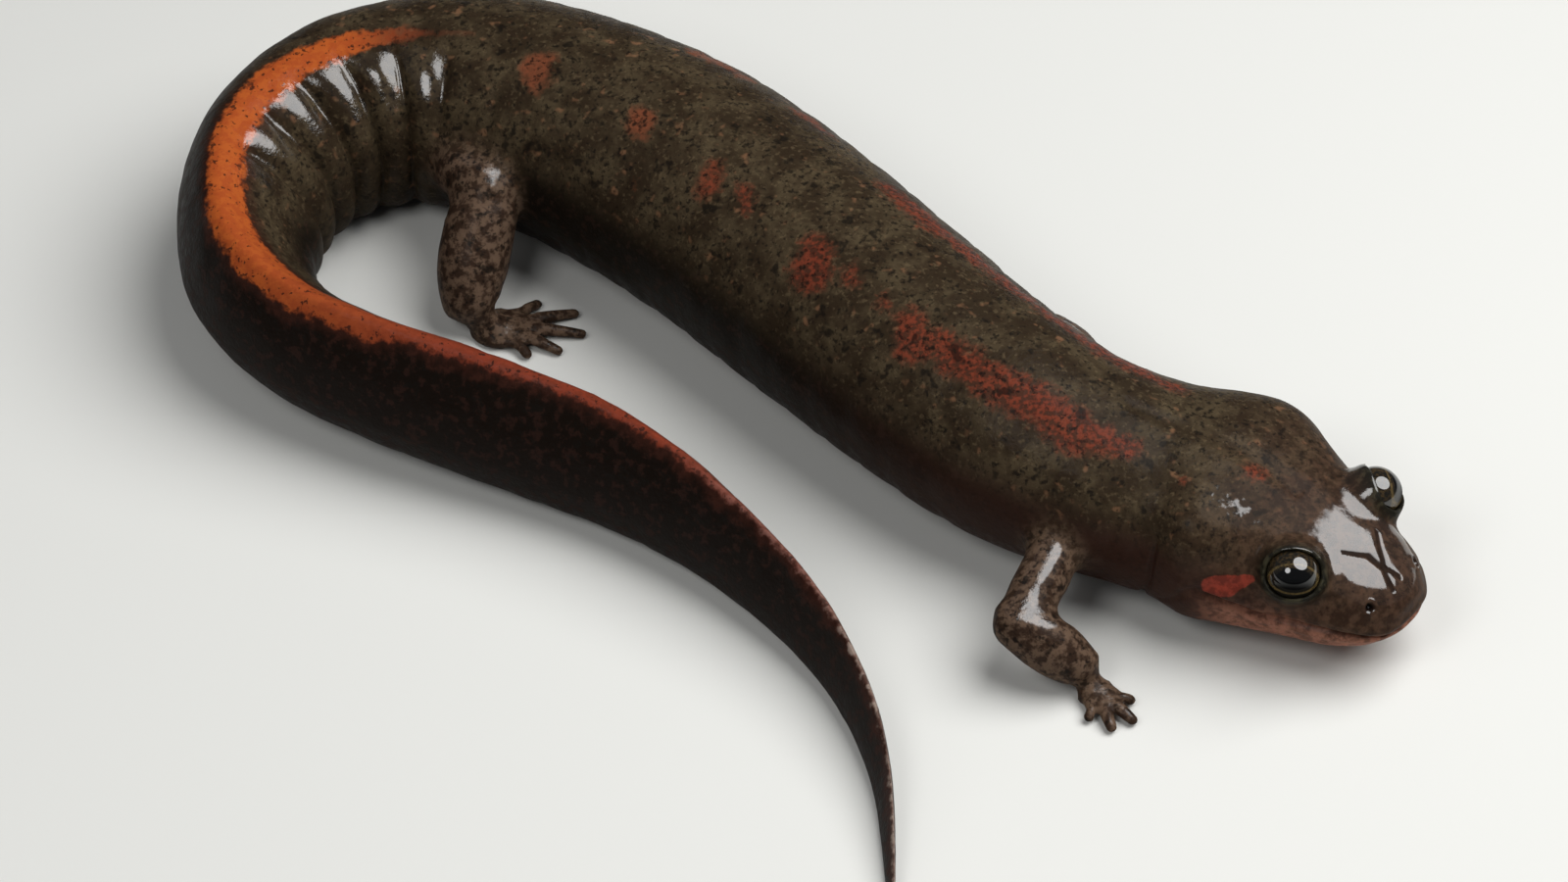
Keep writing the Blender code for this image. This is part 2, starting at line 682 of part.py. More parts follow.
def clear_of_body(limb, root):
    """Cuts a limb back to a gap from the body's side, near the place where the leg grows."""
    places = np.arange(root - SIDE_REACH, root + SIDE_REACH, SIDE_STEP)
    cutter = loft("body_cutter", body_grid(places, ring_angles(SIDE_AROUND), swell=GAP))
    apply_boolean(limb, cutter, "DIFFERENCE")
    keep_largest(limb)


def make_leg(name, joints, heading, toes, half_width, half_length, root):
    """The upper limb cut to the body's side, the lower limb, and the foot."""
    points = np.array([joint[0] for joint in joints]) - np.array([*ORIGIN, 0.0])
    radii = np.array([joint[1] for joint in joints])
    elbow = points[2]
    down = (elbow - points[1]) / np.linalg.norm(elbow - points[1])
    out = (points[3] - elbow) / np.linalg.norm(points[3] - elbow)
    run = (down + out) / np.linalg.norm(down + out)
    upper = tube(name + "_upper", [points[0], points[1], elbow + down * PAST_BEND], radii[:3], LEG_SKIN)
    cut_beyond(upper, elbow - run * GAP / 2.0, run)
    clear_of_body(upper, root)
    lower_path = [elbow - out * PAST_BEND, points[3], points[4]]
    lower = tube(name + "_lower", lower_path, radii[2:], LEG_SKIN)
    cut_beyond(lower, elbow + run * GAP / 2.0, -run)
    clear_of_body(lower, root)
    line = natural_spline(np.array(lower_path), 0.02)[1]
    drop = line[-1] - line[-LAST_POINTS]
    drop /= np.linalg.norm(drop)
    make_foot(name + "_foot", points[-1], radii[-1], drop, heading, toes, half_width, half_length)


def main():
    """Makes the body's lengths with the eyes, then the legs, and smooths their shading."""
    lengths = make_lengths()
    make_eyes(lengths["head"])
    make_nostrils(lengths["head"])
    for leg in LEGS:
        make_leg(*leg)
    for made in bpy.context.scene.objects:
        made.data.shade_smooth()
        made.data.set_sharp_from_angle(angle=math.radians(SHARP_ANGLE))


main()
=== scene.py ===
"""A southern dusky salamander at life size, finished as a museum model over its parted solid core."""

import math

import bpy
import numpy as np
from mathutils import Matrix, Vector


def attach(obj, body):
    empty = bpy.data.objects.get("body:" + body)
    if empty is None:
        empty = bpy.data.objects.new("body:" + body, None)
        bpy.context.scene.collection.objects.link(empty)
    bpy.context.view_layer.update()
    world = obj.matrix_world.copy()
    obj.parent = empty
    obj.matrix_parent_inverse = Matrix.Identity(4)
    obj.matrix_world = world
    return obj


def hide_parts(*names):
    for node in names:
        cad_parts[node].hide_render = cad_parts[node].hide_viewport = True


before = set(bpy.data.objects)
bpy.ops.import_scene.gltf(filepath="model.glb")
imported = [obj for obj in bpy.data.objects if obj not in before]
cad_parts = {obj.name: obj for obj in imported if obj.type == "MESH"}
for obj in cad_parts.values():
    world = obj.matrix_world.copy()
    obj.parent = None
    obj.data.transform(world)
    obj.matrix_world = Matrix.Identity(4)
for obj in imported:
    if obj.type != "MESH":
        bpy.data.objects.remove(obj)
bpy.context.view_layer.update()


# The body: one sculpted form from the snout to the tail's tip, bent round at the hips, that lies on its
# belly. It is cast in one piece, and the folds, creases and nostrils are worked into its surface.

MM = 0.001
ORIGIN = np.array([0.12, 4.715])
SPINE = np.array([
    (25.6, -9.15), (22.6, -6.8), (19.8, -4.7), (16.7, -3.0), (13.6, -2.0), (10.5, -0.4), (7.0, 2.7),
    (3.5, 6.6), (0.0, 10.6), (-4.2, 14.9), (-8.4, 18.0), (-12.6, 20.1), (-16.6, 20.6), (-20.1, 19.2),
    (-22.4, 16.2), (-23.1, 12.5), (-22.5, 9.3), (-20.6, 6.8), (-17.7, 4.8), (-14.5, 3.2), (-11.1, 1.6),
    (-7.7, -0.1), (-4.4, -2.4), (-1.5, -5.2), (0.7, -7.9), (2.35, -10.7), (3.35, -13.3), (3.95, -16.0),
    (4.2, -19.0), (4.3, -24.0),
])

# Sizes at places along the spine: distance from the snout, half width, and the heights of the back, of
# the belly and of the widest level.
SECTIONS = np.array([
    (0.0, 0.0, 2.9, 2.9, 2.9),
    (0.25, 1.3, 3.85, 2.2, 2.9),
    (1.0, 2.2, 4.75, 1.6, 2.9),
    (2.0, 2.8, 5.3, 1.3, 3.0),
    (4.2, 3.5, 6.1, 1.0, 3.05),
    (6.5, 4.35, 6.9, 0.75, 3.2),
    (8.8, 4.95, 7.5, 0.5, 3.4),
    (11.5, 4.7, 7.9, 0.35, 3.7),
    (14.5, 4.7, 8.6, 0.15, 4.1),
    (19.0, 4.9, 9.4, -0.05, 4.5),
    (28.0, 5.3, 9.9, -0.15, 4.8),
    (38.0, 5.5, 10.0, -0.15, 4.8),
    (47.0, 5.05, 9.6, -0.15, 4.7),
    (54.0, 4.0, 8.8, -0.12, 4.4),
    (60.0, 3.15, 8.2, -0.10, 3.9),
    (69.0, 2.65, 7.8, -0.10, 3.4),
    (78.0, 2.45, 7.3, -0.10, 3.0),
    (88.0, 1.85, 6.2, -0.10, 2.5),
    (95.0, 1.15, 4.85, -0.10, 1.85),
    (101.0, 0.65, 3.3, -0.10, 1.25),
    (106.0, 0.36, 2.1, -0.10, 0.8),
    (110.0, 0.21, 1.2, -0.08, 0.45),
])
TAIL_TIP = (0.09, 0.4, 0.0, 0.2)

# The tail leans out of its bend, by these distances at these places, and its upper half narrows to a keel.
LEAN_PLACES = (51.0, 61.0, 72.0, 84.0, 92.0, 98.0, 106.0, 112.0)
LEAN_SIZES = (0.0, 1.0, 0.9, 0.05, 0.1, -0.1, -0.2, -0.1)
KEEL_PLACES = (50.0, 75.0)
KEEL_DEPTH = 0.55
KEEL_POWER = 1.5
SQUARENESS = 0.2
SQUARE_RISE = (0.4, 2.6)
SQUARE_FALL = (9.0, 15.0)
OVERBITE = 0.22
OVERBITE_LENGTH = 1.2
OVERBITE_EASE = 0.3
FLOOR_EASE = 0.06

# Points round each ring, and how much closer they lie on the mouth's lines and along the crown.
ANGLE_COUNT = 150
MOUTH_LEVEL = 90.0
MOUTH_SPREAD = 7.0
MOUTH_CLOSENESS = 1.8
CROWN_SPREAD = 26.0
CROWN_CLOSENESS = 0.7


def natural_spline(points, step=0.05):
    """Points close together on the natural cubic through the given ones, with the length up to each."""
    places = np.concatenate([[0.0], np.cumsum(np.linalg.norm(np.diff(points, axis=0), axis=1))])
    spans = np.diff(places)
    count = len(points)
    system = np.eye(count)
    slopes = np.zeros_like(points)
    for i in range(1, count - 1):
        system[i, i - 1:i + 2] = spans[i - 1], 2.0 * (spans[i - 1] + spans[i]), spans[i]
        rise = (points[i + 1] - points[i]) / spans[i]
        slopes[i] = 6.0 * (rise - (points[i] - points[i - 1]) / spans[i - 1])
    bends = np.linalg.solve(system, slopes)
    at = np.arange(0.0, places[-1], step)
    k = np.clip(np.searchsorted(places, at, side="right") - 1, 0, count - 2)
    x = (at - places[k])[:, None]
    h = spans[k][:, None]
    first = (points[k + 1] - points[k]) / h - h * (2.0 * bends[k] + bends[k + 1]) / 6.0
    line = points[k] + first * x + bends[k] * x ** 2 / 2.0 + (bends[k + 1] - bends[k]) * x ** 3 / (6.0 * h)
    lengths = np.concatenate([[0.0], np.cumsum(np.linalg.norm(np.diff(line, axis=0), axis=1))])
    return lengths, line


def eased(at, places, sizes):
    """A smooth curve through sizes at places that never swings past them and stays level past its ends."""
    at = np.clip(at, places[0], places[-1])
    spans = np.diff(places)
    rises = np.diff(sizes) / spans
    tangents = np.zeros(len(places))
    tangents[0] = rises[0]
    for i in range(1, len(places) - 1):
        if rises[i - 1] * rises[i] > 0.0:
            before = 2.0 * spans[i] + spans[i - 1]
            after = spans[i] + 2.0 * spans[i - 1]
            tangents[i] = (before + after) / (before / rises[i - 1] + after / rises[i])
    k = np.clip(np.searchsorted(places, at, side="right") - 1, 0, len(places) - 2)
    h = spans[k]
    x = (at - places[k]) / h
    start = (2.0 * x ** 3 - 3.0 * x ** 2 + 1.0) * sizes[k] + (x ** 3 - 2.0 * x ** 2 + x) * h * tangents[k]
    end = (3.0 * x ** 2 - 2.0 * x ** 3) * sizes[k + 1] + (x ** 3 - x ** 2) * h * tangents[k + 1]
    return start + end


def step_up(x, low, high):
    """0 below low and 1 above high, with a smooth rise between them."""
    t = np.clip((x - low) / (high - low), 0.0, 1.0)
    return t * t * (3.0 - 2.0 * t)


SPINE_PLACES, SPINE_LINE = natural_spline(SPINE - ORIGIN)
BODY_LENGTH = SPINE_PLACES[-1]
SIZES = np.vstack([SECTIONS, (BODY_LENGTH, *TAIL_TIP)])


def along(places):
    """Points on the spine's plan, the unit vectors towards the tail, and those to the animal's left."""
    reach = 0.4

    def at(s):
        """The line's point at each length."""
        return np.stack([np.interp(s, SPINE_PLACES, SPINE_LINE[:, k]) for k in (0, 1)], axis=-1)

    back = at(np.minimum(places + reach, BODY_LENGTH)) - at(np.maximum(places - reach, 0.0))
    back /= np.linalg.norm(back, axis=-1, keepdims=True)
    left = np.stack([back[..., 1], -back[..., 0]], axis=-1)
    return at(places), back, left


def sizes_at(places):
    """Half width, back, belly and level at each place, eased over the root of the distance.

    The root makes the snout's tip round, as a width that grows with it is a parabola's.
    """
    return [eased(np.sqrt(places), np.sqrt(SIZES[:, 0]), SIZES[:, k]) for k in (1, 2, 3, 4)]


def body_surface(places, turns):
    """The plain body at a place along the spine and a turn from the back, positive to the left.

    A section is an ellipse above its widest level and another below it, squared a little on the head,
    narrowed above to a keel on the tail, and eased flat where it meets the floor.
    """
    centre, back, left = along(places)
    width, top, belly, level = sizes_at(places)
    sine = np.sin(turns)
    cosine = np.cos(turns)
    power = 1.0 - SQUARENESS * step_up(places, *SQUARE_RISE) * (1.0 - step_up(places, *SQUARE_FALL))
    around = np.sign(sine) * np.abs(sine) ** power
    upward = np.sign(cosine) * np.abs(cosine) ** power
    keel = KEEL_DEPTH * step_up(places, *KEEL_PLACES) * np.clip(cosine, 0.0, 1.0) ** KEEL_POWER
    across = width * (1.0 - keel) * around + np.interp(places, LEAN_PLACES, LEAN_SIZES) * cosine
    height = level + np.where(cosine > 0.0, top - level, level - belly) * upward
    forward = OVERBITE * np.exp(-places / OVERBITE_LENGTH) * cosine * step_up(places, 0.0, OVERBITE_EASE)
    plan = centre + left * across[..., None] - back * forward[..., None]
    return np.concatenate([plan, height[..., None]], axis=-1)


def rested(points):
    """Points whose height is eased to zero from above, so that nothing is under the floor."""
    done = points.copy()
    done[..., 2] = 0.5 * (points[..., 2] + np.sqrt(points[..., 2] ** 2 + FLOOR_EASE ** 2))
    return done


def outward(points):
    """Unit normals of a grid of points whose rows are rings, from its two differences."""
    ring = np.roll(points, -1, axis=1) - np.roll(points, 1, axis=1)
    run = np.gradient(points, axis=0)
    normal = np.cross(ring, run)
    return normal / np.maximum(np.linalg.norm(normal, axis=-1, keepdims=True), 1e-9)


def waviness(points, size, seed):
    """Smooth noise from -1 to 1 on points in millimetres, with waves of about one size.

    Each corner of a lattice has a value worked out from its whole numbers, and a point blends the
    eight corners round it.
    """
    cell = np.floor(points / size).astype(np.int64)
    part = points / size - cell
    part = part * part * (3.0 - 2.0 * part)
    total = np.zeros(points.shape[:-1])
    for corner in np.ndindex(2, 2, 2):
        x, y, z = (cell[..., k] + corner[k] for k in range(3))
        code = (x * 73856093) ^ (y * 19349663) ^ (z * 83492791) ^ (seed * 2654435761)
        code = (code ^ (code >> 13)) * 1274126177 & 0x7fffffff
        value = (code >> 8 & 0xffff) / 32767.5 - 1.0
        weight = np.prod([part[..., k] if corner[k] else 1.0 - part[..., k] for k in range(3)], axis=0)
        total += value * weight
    return total


def ring_turns():
    """Angles round a section in radians, closer on the two lines of the mouth and along the crown."""
    fine = np.linspace(-180.0, 180.0, 4001)
    crowd = (1.0 + MOUTH_CLOSENESS * np.exp(-((np.abs(fine) - MOUTH_LEVEL) / MOUTH_SPREAD) ** 2)
             + CROWN_CLOSENESS * np.exp(-(fine / CROWN_SPREAD) ** 2))
    share = np.concatenate([[0.0], np.cumsum((crowd[1:] + crowd[:-1]) / 2.0)])
    wanted = (np.arange(ANGLE_COUNT) + 0.5) / ANGLE_COUNT * share[-1]
    return np.radians(np.interp(wanted, share, fine))


# Where the mouth's line runs: distance from the snout and degrees from the back. The points of the rings
# follow it, up to MOUTH_REACH degrees away.
MOUTH_PLACES = np.array([0.0, 1.1, 4.7, 6.0, 8.0, 14.0])
MOUTH_TURNS = np.array([100.0, 88.0, 91.0, 88.0, 86.0, 98.0])
MOUTH_REACH = 30.0

# The distances between rings, which are closest on the snout, where they grow with the square.
NOSE_RINGS = 56
NOSE_LENGTH = 2.4
HEAD_STEP = 0.09
TRUNK_STEP = 0.28
HIP_STEP = 0.18
TAIL_STEP = 0.55
HEAD_END = 12.0
HIP_START = 50.0
HIP_END = 68.0

nose = NOSE_LENGTH * (np.arange(1, NOSE_RINGS + 1) / NOSE_RINGS) ** 2
ring_places = np.concatenate([
    nose,
    np.arange(NOSE_LENGTH + HEAD_STEP, HEAD_END, HEAD_STEP),
    np.arange(HEAD_END, HIP_START, TRUNK_STEP),
    np.arange(HIP_START, HIP_END, HIP_STEP),
    np.arange(HIP_END, BODY_LENGTH - 0.5 * TAIL_STEP, TAIL_STEP),
    [BODY_LENGTH],
])
places = np.repeat(ring_places[:, None], ANGLE_COUNT, axis=1)
base_turns = np.broadcast_to(ring_turns(), places.shape)
mouth_turn = np.radians(eased(ring_places, MOUTH_PLACES, MOUTH_TURNS))[:, None]
near_mouth = np.exp(-((np.degrees(np.abs(base_turns)) - MOUTH_LEVEL) / MOUTH_REACH) ** 2)
shift = (mouth_turn - math.radians(MOUTH_LEVEL)) * near_mouth
turns = base_turns + np.sign(base_turns) * shift
plain = body_surface(places, turns)
degrees = np.degrees(turns)
left_right = np.abs(degrees)

half_width, back_height, _, level_height = sizes_at(places)
girth = 0.5 * (half_width + back_height - level_height)


def swelling(place, turn, length, spread, height):
    """A rounded swelling centred on a place and a turn, alike on both sides."""
    return height * np.exp(-((places - place) / length) ** 2 - ((left_right - turn) / spread) ** 2)


def line_distance(points):
    """How far the skin's points are from a line of places and turns, in millimetres over the surface."""
    nearest = np.full(places.shape, 99.0)
    x = places
    y = girth * turns
    for (s0, t0), (s1, t1) in zip(points[:-1], points[1:]):
        dx = s1 - s0
        dy = girth * math.radians(t1 - t0)
        across = y - girth * math.radians(t0)
        share = np.clip(((x - s0) * dx + across * dy) / (dx * dx + dy * dy), 0.0, 1.0)
        apart = np.hypot(x - s0 - share * dx, across - share * dy)
        nearest = np.minimum(nearest, apart)
    return nearest


relief = np.zeros(places.shape)

# The head's own forms: jaw muscles behind the eyes, hollows before and behind them, cheeks and throat.
# Each has its place, its turn, its length along the head, its spread in degrees and its height.
for form in (
    (8.7, 52.0, 2.0, 22.0, 0.36),
    (2.4, 62.0, 0.7, 15.0, -0.12),
    (6.5, 62.0, 0.7, 10.0, -0.10),
    (6.4, 77.0, 0.9, 9.0, 0.10),
    (11.6, 40.0, 1.3, 60.0, -0.12),
    (5.0, 118.0, 2.4, 10.0, 0.08),
    (9.0, 150.0, 2.6, 26.0, 0.10),
):
    relief += swelling(*form)

# Fine grooves: down the middle of the head, behind each eye to the jaw's corner, across the throat, over
# the snout and from each nostril to the lip. Each is a line with a width and a depth. The narrowest are
# dry as well, and painted dark with shade.
FINE_CREASE = 0.1
CREASES = (
    (((5.8, 0.0), (13.5, 0.0)), 0.22, -0.07),
    (((5.5, -70.0), (7.0, -80.0), (8.6, -90.0), (10.2, -112.0)), 0.16, -0.10),
    (((5.5, 70.0), (7.0, 80.0), (8.6, 90.0), (10.2, 112.0)), 0.16, -0.10),
    (((11.8, -180.0), (11.7, -130.0), (11.0, -96.0), (10.6, -70.0)), 0.2, -0.16),
    (((11.8, 180.0), (11.7, 130.0), (11.0, 96.0), (10.6, 70.0)), 0.2, -0.16),
    (((13.4, -120.0), (13.0, -90.0), (13.0, -60.0)), 0.22, -0.10),
    (((13.4, 120.0), (13.0, 90.0), (13.0, 60.0)), 0.22, -0.10),
    (((4.5, -19.0), (3.7, -14.0), (3.2, -14.5), (2.2, -2.0), (1.6, -2.5), (0.9, 4.5)), 0.08, -0.07),
    (((3.2, 25.0), (2.2, 8.5), (1.7, 2.5), (1.2, -6.0), (0.8, -13.0)), 0.08, -0.07),
    (((1.15, -52.0), (1.35, -84.0)), 0.11, -0.03),
    (((1.15, 52.0), (1.35, 84.0)), 0.11, -0.03),
)
NO_CREASE = 9.0
crease = np.full(places.shape, NO_CREASE)
for line, width, depth in CREASES:
    apart = line_distance(line)
    relief += depth * np.exp(-(apart / width) ** 2)
    if width <= FINE_CREASE:
        crease = np.minimum(crease, apart)

# The mouth: a fine cut along the jaw with the upper lip's roll above it and the lower lip's below. Each
# has its distance from the mouth's line, its width and its height.
MOUTH_CORNER = 7.9
MOUTH_EASE = 0.9
MOUTH_START = (-0.2, 0.3)
LIP_FORMS = ((0.0, 0.09, -0.24), (-0.36, 0.26, 0.09), (0.34, 0.24, 0.07))
in_mouth = step_up(places, *MOUTH_START) * (1.0 - step_up(places, MOUTH_CORNER - MOUTH_EASE, MOUTH_CORNER))
from_mouth = girth * (np.abs(turns) - mouth_turn)
for level, width, height in LIP_FORMS:
    relief += in_mouth * height * np.exp(-((from_mouth - level) / width) ** 2)

# The folds between the ribs on both flanks and down the tail's sides: the first one's place, the distance
# between them, their number, depth and width. They slant back a little towards the belly.
RIB_FOLDS = (19.5, 2.1, 14, -0.05, 0.3)
TAIL_FOLDS = (68.0, 2.3, 11, -0.03, 0.35)
FOLD_SLANT = 0.006
FOLD_MIDDLE = 60.0
slant = places + FOLD_SLANT * (left_right - FOLD_MIDDLE)
on_flank = step_up(left_right, 22.0, 60.0) * (1.0 - step_up(left_right, 135.0, 165.0))
for first, step, count, depth, width in (RIB_FOLDS, TAIL_FOLDS):
    for fold in first + step * np.arange(count):
        relief += depth * on_flank * np.exp(-((slant - fold) / width) ** 2)

# The inner side of the hip bend is gathered into swollen pleats with deep furrows at these places.
BEND_FOLDS = (50.3, 53.1, 55.7, 58.0, 60.3, 62.6, 65.0)
PLEAT_HEIGHT = 0.52
PLEAT_ROUNDNESS = 0.6
FURROW_DEPTH = 0.36
inner_side = step_up(-degrees, 10.0, 34.0) * (1.0 - step_up(-degrees, 125.0, 160.0))
between = np.interp(slant, BEND_FOLDS, np.arange(len(BEND_FOLDS)))
swollen = step_up(places, 49.6, 51.0) * (1.0 - step_up(places, 62.0, 66.0))
pleats = PLEAT_HEIGHT * np.abs(np.sin(math.pi * between)) ** PLEAT_ROUNDNESS - FURROW_DEPTH
relief += inner_side * swollen * pleats

# The skin's own unevenness, least on the snout and the tail's thin edge: each layer's height, the size of
# its waves and its seed.
UNEVENNESS = ((0.05, 1.7, 3), (0.022, 0.62, 5))
SNOUT_CALM = 0.35
calm = SNOUT_CALM + (1.0 - SNOUT_CALM) * step_up(places, 3.0, 9.0)
thin = np.clip(girth / 2.0, 0.1, 1.0)
for height, size, seed in UNEVENNESS:
    relief += calm * thin * height * waviness(plain, size, seed)

normals = outward(plain)
skin_grid = plain + normals * relief[..., None]


def sink_pits(points, spots, radius, depth):
    """Points pushed inwards round each spot, as deep as the bell curve of their distance from it."""
    for spot in spots:
        apart = np.linalg.norm(points - spot, axis=-1)
        points = points - normals * (depth * np.exp(-(apart / radius) ** 4))[..., None]
    return points


NOSTRIL_PLACE = 1.05
NOSTRIL_TURN = 46.0
NOSTRIL_RADIUS = 0.15
NOSTRIL_DEPTH = 0.3
RIM_RADIUS = 0.27
RIM_WIDTH = 0.11
RIM_HEIGHT = 0.05
nostrils = body_surface(np.full(2, NOSTRIL_PLACE), np.radians([-NOSTRIL_TURN, NOSTRIL_TURN]))
for spot in nostrils:
    ring = np.linalg.norm(plain - spot, axis=-1)
    skin_grid += normals * (RIM_HEIGHT * np.exp(-((ring - RIM_RADIUS) / RIM_WIDTH) ** 2))[..., None]
skin_grid = rested(sink_pits(skin_grid, nostrils, NOSTRIL_RADIUS, NOSTRIL_DEPTH))


# The markings are painted under the skin's gloss: two rows of brick-red blotches along the back and an
# orange band on the tail's crest. Each blotch is a line with a place, a turn and a radius at both of its
# ends.

BLOTCHES = (
    # the right row, from the hips to the neck
    (45.6, -19.0, 0.75, 45.4, -25.0, 0.65), (39.5, -23.0, 0.55, 39.2, -26.0, 0.45),
    (38.0, -49.0, 0.22, 38.0, -49.5, 0.2), (34.9, -22.0, 0.35, 34.5, -31.0, 0.5),
    (32.9, -24.0, 0.4, 32.4, -28.0, 0.3), (28.3, -24.0, 0.75, 27.8, -33.0, 0.95),
    (26.4, -22.0, 0.4, 26.0, -24.0, 0.3), (24.3, -23.0, 0.3, 24.1, -24.0, 0.2),
    (22.7, -24.0, 0.65, 22.1, -31.0, 0.8), (21.2, -22.0, 0.5, 20.3, -26.0, 0.7),
    (20.3, -24.0, 0.75, 17.1, -23.0, 0.95), (17.1, -23.0, 0.9, 14.9, -26.0, 0.95),
    (14.9, -26.0, 0.85, 13.0, -24.0, 0.5),
    # the left row
    (40.6, 37.0, 0.6, 38.6, 38.0, 0.45), (35.4, 39.0, 0.45, 34.0, 40.0, 0.35),
    (29.4, 33.0, 0.55, 26.2, 33.0, 0.7), (25.2, 35.0, 0.5, 23.4, 36.0, 0.5),
    (22.4, 37.0, 0.7, 21.0, 38.0, 0.65), (19.8, 37.0, 0.55, 16.2, 37.0, 0.6),
    (16.2, 36.0, 0.6, 13.8, 34.0, 0.7), (13.4, 31.0, 0.5, 12.0, 29.0, 0.35),
    # small ones on the crown
    (7.7, -5.0, 0.24, 7.4, -4.0, 0.18), (10.2, -28.0, 0.16, 10.0, -28.0, 0.1),
)

# The band's left and right edges at places along the tail, in millimetres over the skin from its crest.
CREST_START = 49.0
CREST_PLACES = np.array(
    [50.0, 53.0, 56.0, 59.0, 63.0, 67.0, 70.0, 74.0, 78.0, 85.0, 92.0, 100.0, BODY_LENGTH])
CREST_LEFT = np.array([-0.75, -0.45, 0.0, 0.3, 0.4, 0.72, 0.95, 0.9, 0.58, 0.38, 0.2, 0.08, 0.05])
CREST_RIGHT = np.array([-0.9, -1.25, -1.3, -1.35, -1.2, -1.4, -1.35, -1.1, -0.9, -0.7, -0.5, -0.3, -0.15])

# The value of a mark's field far outside the mark.
OUTSIDE = -9.0

arcs = np.linalg.norm(np.diff(plain, axis=1), axis=-1)
arcs = np.concatenate([np.zeros((len(arcs), 1)), np.cumsum(arcs, axis=1)], axis=1)
crown = np.array([np.interp(0.0, row_turns, row) for row_turns, row in zip(turns, arcs)])
arcs -= crown[:, None]


def arc_at(place, turn):
    """How far over the skin from the middle of the back a turn in degrees lies, at one place."""
    ring = np.argmin(np.abs(ring_places - place))
    return np.interp(math.radians(turn), turns[ring], arcs[ring])


def mark_field(marks):
    """Millimetres inside the nearest mark, negative outside, measured along the spine and over the skin."""
    field = np.full(places.shape, OUTSIDE)
    for s0, t0, radius, s1, t1, last_radius in marks:
        a0 = arc_at(s0, t0)
        a1 = arc_at(s1, t1)
        span = max((s1 - s0) ** 2 + (a1 - a0) ** 2, 1e-6)
        share = np.clip(((places - s0) * (s1 - s0) + (arcs - a0) * (a1 - a0)) / span, 0.0, 1.0)
        apart = np.hypot(places - s0 - share * (s1 - s0), arcs - a0 - share * (a1 - a0))
        field = np.maximum(field, radius + (last_radius - radius) * share - apart)
    return field


crest_field = np.minimum(eased(places, CREST_PLACES, CREST_LEFT) - arcs,
                         arcs - eased(places, CREST_PLACES, CREST_RIGHT))
crest_field = np.where(places < CREST_START, OUTSIDE, crest_field)

# What each point of the skin knows of itself: its place, how wet it is, how far it is inside a mark and
# from a crease, and how much it belongs to the low flanks (darker, partly as painted shade), the tail, a
# limb, the face, the lips, a lid or a nostril's pit (painted shade). The last value, soft, says how far the
# skin beside a join is worked smooth, in millimetres.
NOSTRIL_SHADE = 0.2
snout = 1.0 - step_up(places, 2.0, 6.5)
snout_top = np.exp(-(places / 4.6) ** 6 - ((degrees + 4.0) / 68.0) ** 6)
fold_tops = inner_side * swollen * (1.0 - step_up(-degrees, 66.0, 100.0))
behind_eyes = np.exp(-((places - 7.3) / 1.6) ** 2 - ((degrees + 24.0) / 9.0) ** 2)
fields = {
    "place": places,
    "wet": np.clip(snout_top + fold_tops + 0.5 * behind_eyes, 0.0, 1.0),
    "crease": crease,
    "low": step_up(left_right, 48.0, 92.0) * (1.0 - 0.75 * snout) * (1.0 - 0.6 * inner_side * swollen),
    "tail": np.where(degrees < 0.0, step_up(places, 66.0, 78.0), step_up(places, 54.0, 66.0)),
    "red": mark_field(BLOTCHES),
    "crest": crest_field,
    "cheek": np.full(places.shape, OUTSIDE),
    "limb": np.zeros(places.shape),
    "face": 1.0 - step_up(places, 4.0, 11.0),
    "lips": (1.0 - step_up(places, 6.0, 8.5)) * step_up(left_right, 82.0, 96.0),
    "lid": np.zeros(places.shape),
    "pit_shade": sum(np.exp(-(np.linalg.norm(plain - spot, axis=-1) / NOSTRIL_SHADE) ** 4) for spot in nostrils),
    "soft": np.zeros(places.shape),
}


def cast(name, points, quads, triangles, fields):
    """A closed mesh from points in millimetres and faces, turned outwards, with the given values.

    Its volume is a sixth of the sum of p . (q x r) over its triangles p, q, r, and where that is negative
    the faces are turned round.
    """
    halves = np.concatenate([quads[:, [0, 1, 2]], quads[:, [0, 2, 3]], triangles])
    p, q, r = (points[halves[:, k]] for k in range(3))
    faces = quads.tolist() + triangles.tolist()
    if np.einsum("ij,ij->", p, np.cross(q, r)) < 0.0:
        faces = [face[::-1] for face in faces]
    mesh = bpy.data.meshes.new(name)
    mesh.from_pydata((points * MM).tolist(), [], faces)
    for field, values in fields.items():
        mesh.attributes.new(field, "FLOAT", "POINT").data.foreach_set("value", values.astype(np.float32))
    mesh.shade_smooth()
    made = bpy.data.objects.new(name, mesh)
    bpy.context.scene.collection.objects.link(made)
    return made


def closed_piece(name, grid, fields):
    """A closed mesh from rings of points, with a point at the middle of the first and of the last ring."""
    rings, around = grid.shape[:2]
    points = np.concatenate([grid.reshape(-1, 3), grid[:1].mean(axis=1), grid[-1:].mean(axis=1)])
    i, j = np.meshgrid(np.arange(rings - 1), np.arange(around), indexing="ij")
    a = i * around + j
    b = i * around + (j + 1) % around
    quads = np.stack([a, b, b + around, a + around], axis=-1).reshape(-1, 4)
    one = np.arange(around)
    two = (one + 1) % around
    last = (rings - 1) * around
    start = np.stack([two, one, np.full(around, rings * around)], axis=-1)
    end = np.stack([last + one, last + two, np.full(around, rings * around + 1)], axis=-1)
    own = {}
    for field, values in fields.items():
        values = np.broadcast_to(values, (rings, around))
        own[field] = np.concatenate([values.ravel(), [values[0].mean(), values[-1].mean()]])
    return cast(name, points, quads, np.concatenate([start, end]), own)


skin = closed_piece("skin", skin_grid, fields)


# The eyes' lids: a mound on each side of the crown with a round socket, and round the socket a thick
# soft ring of lid, a little wider along the head than up and down.

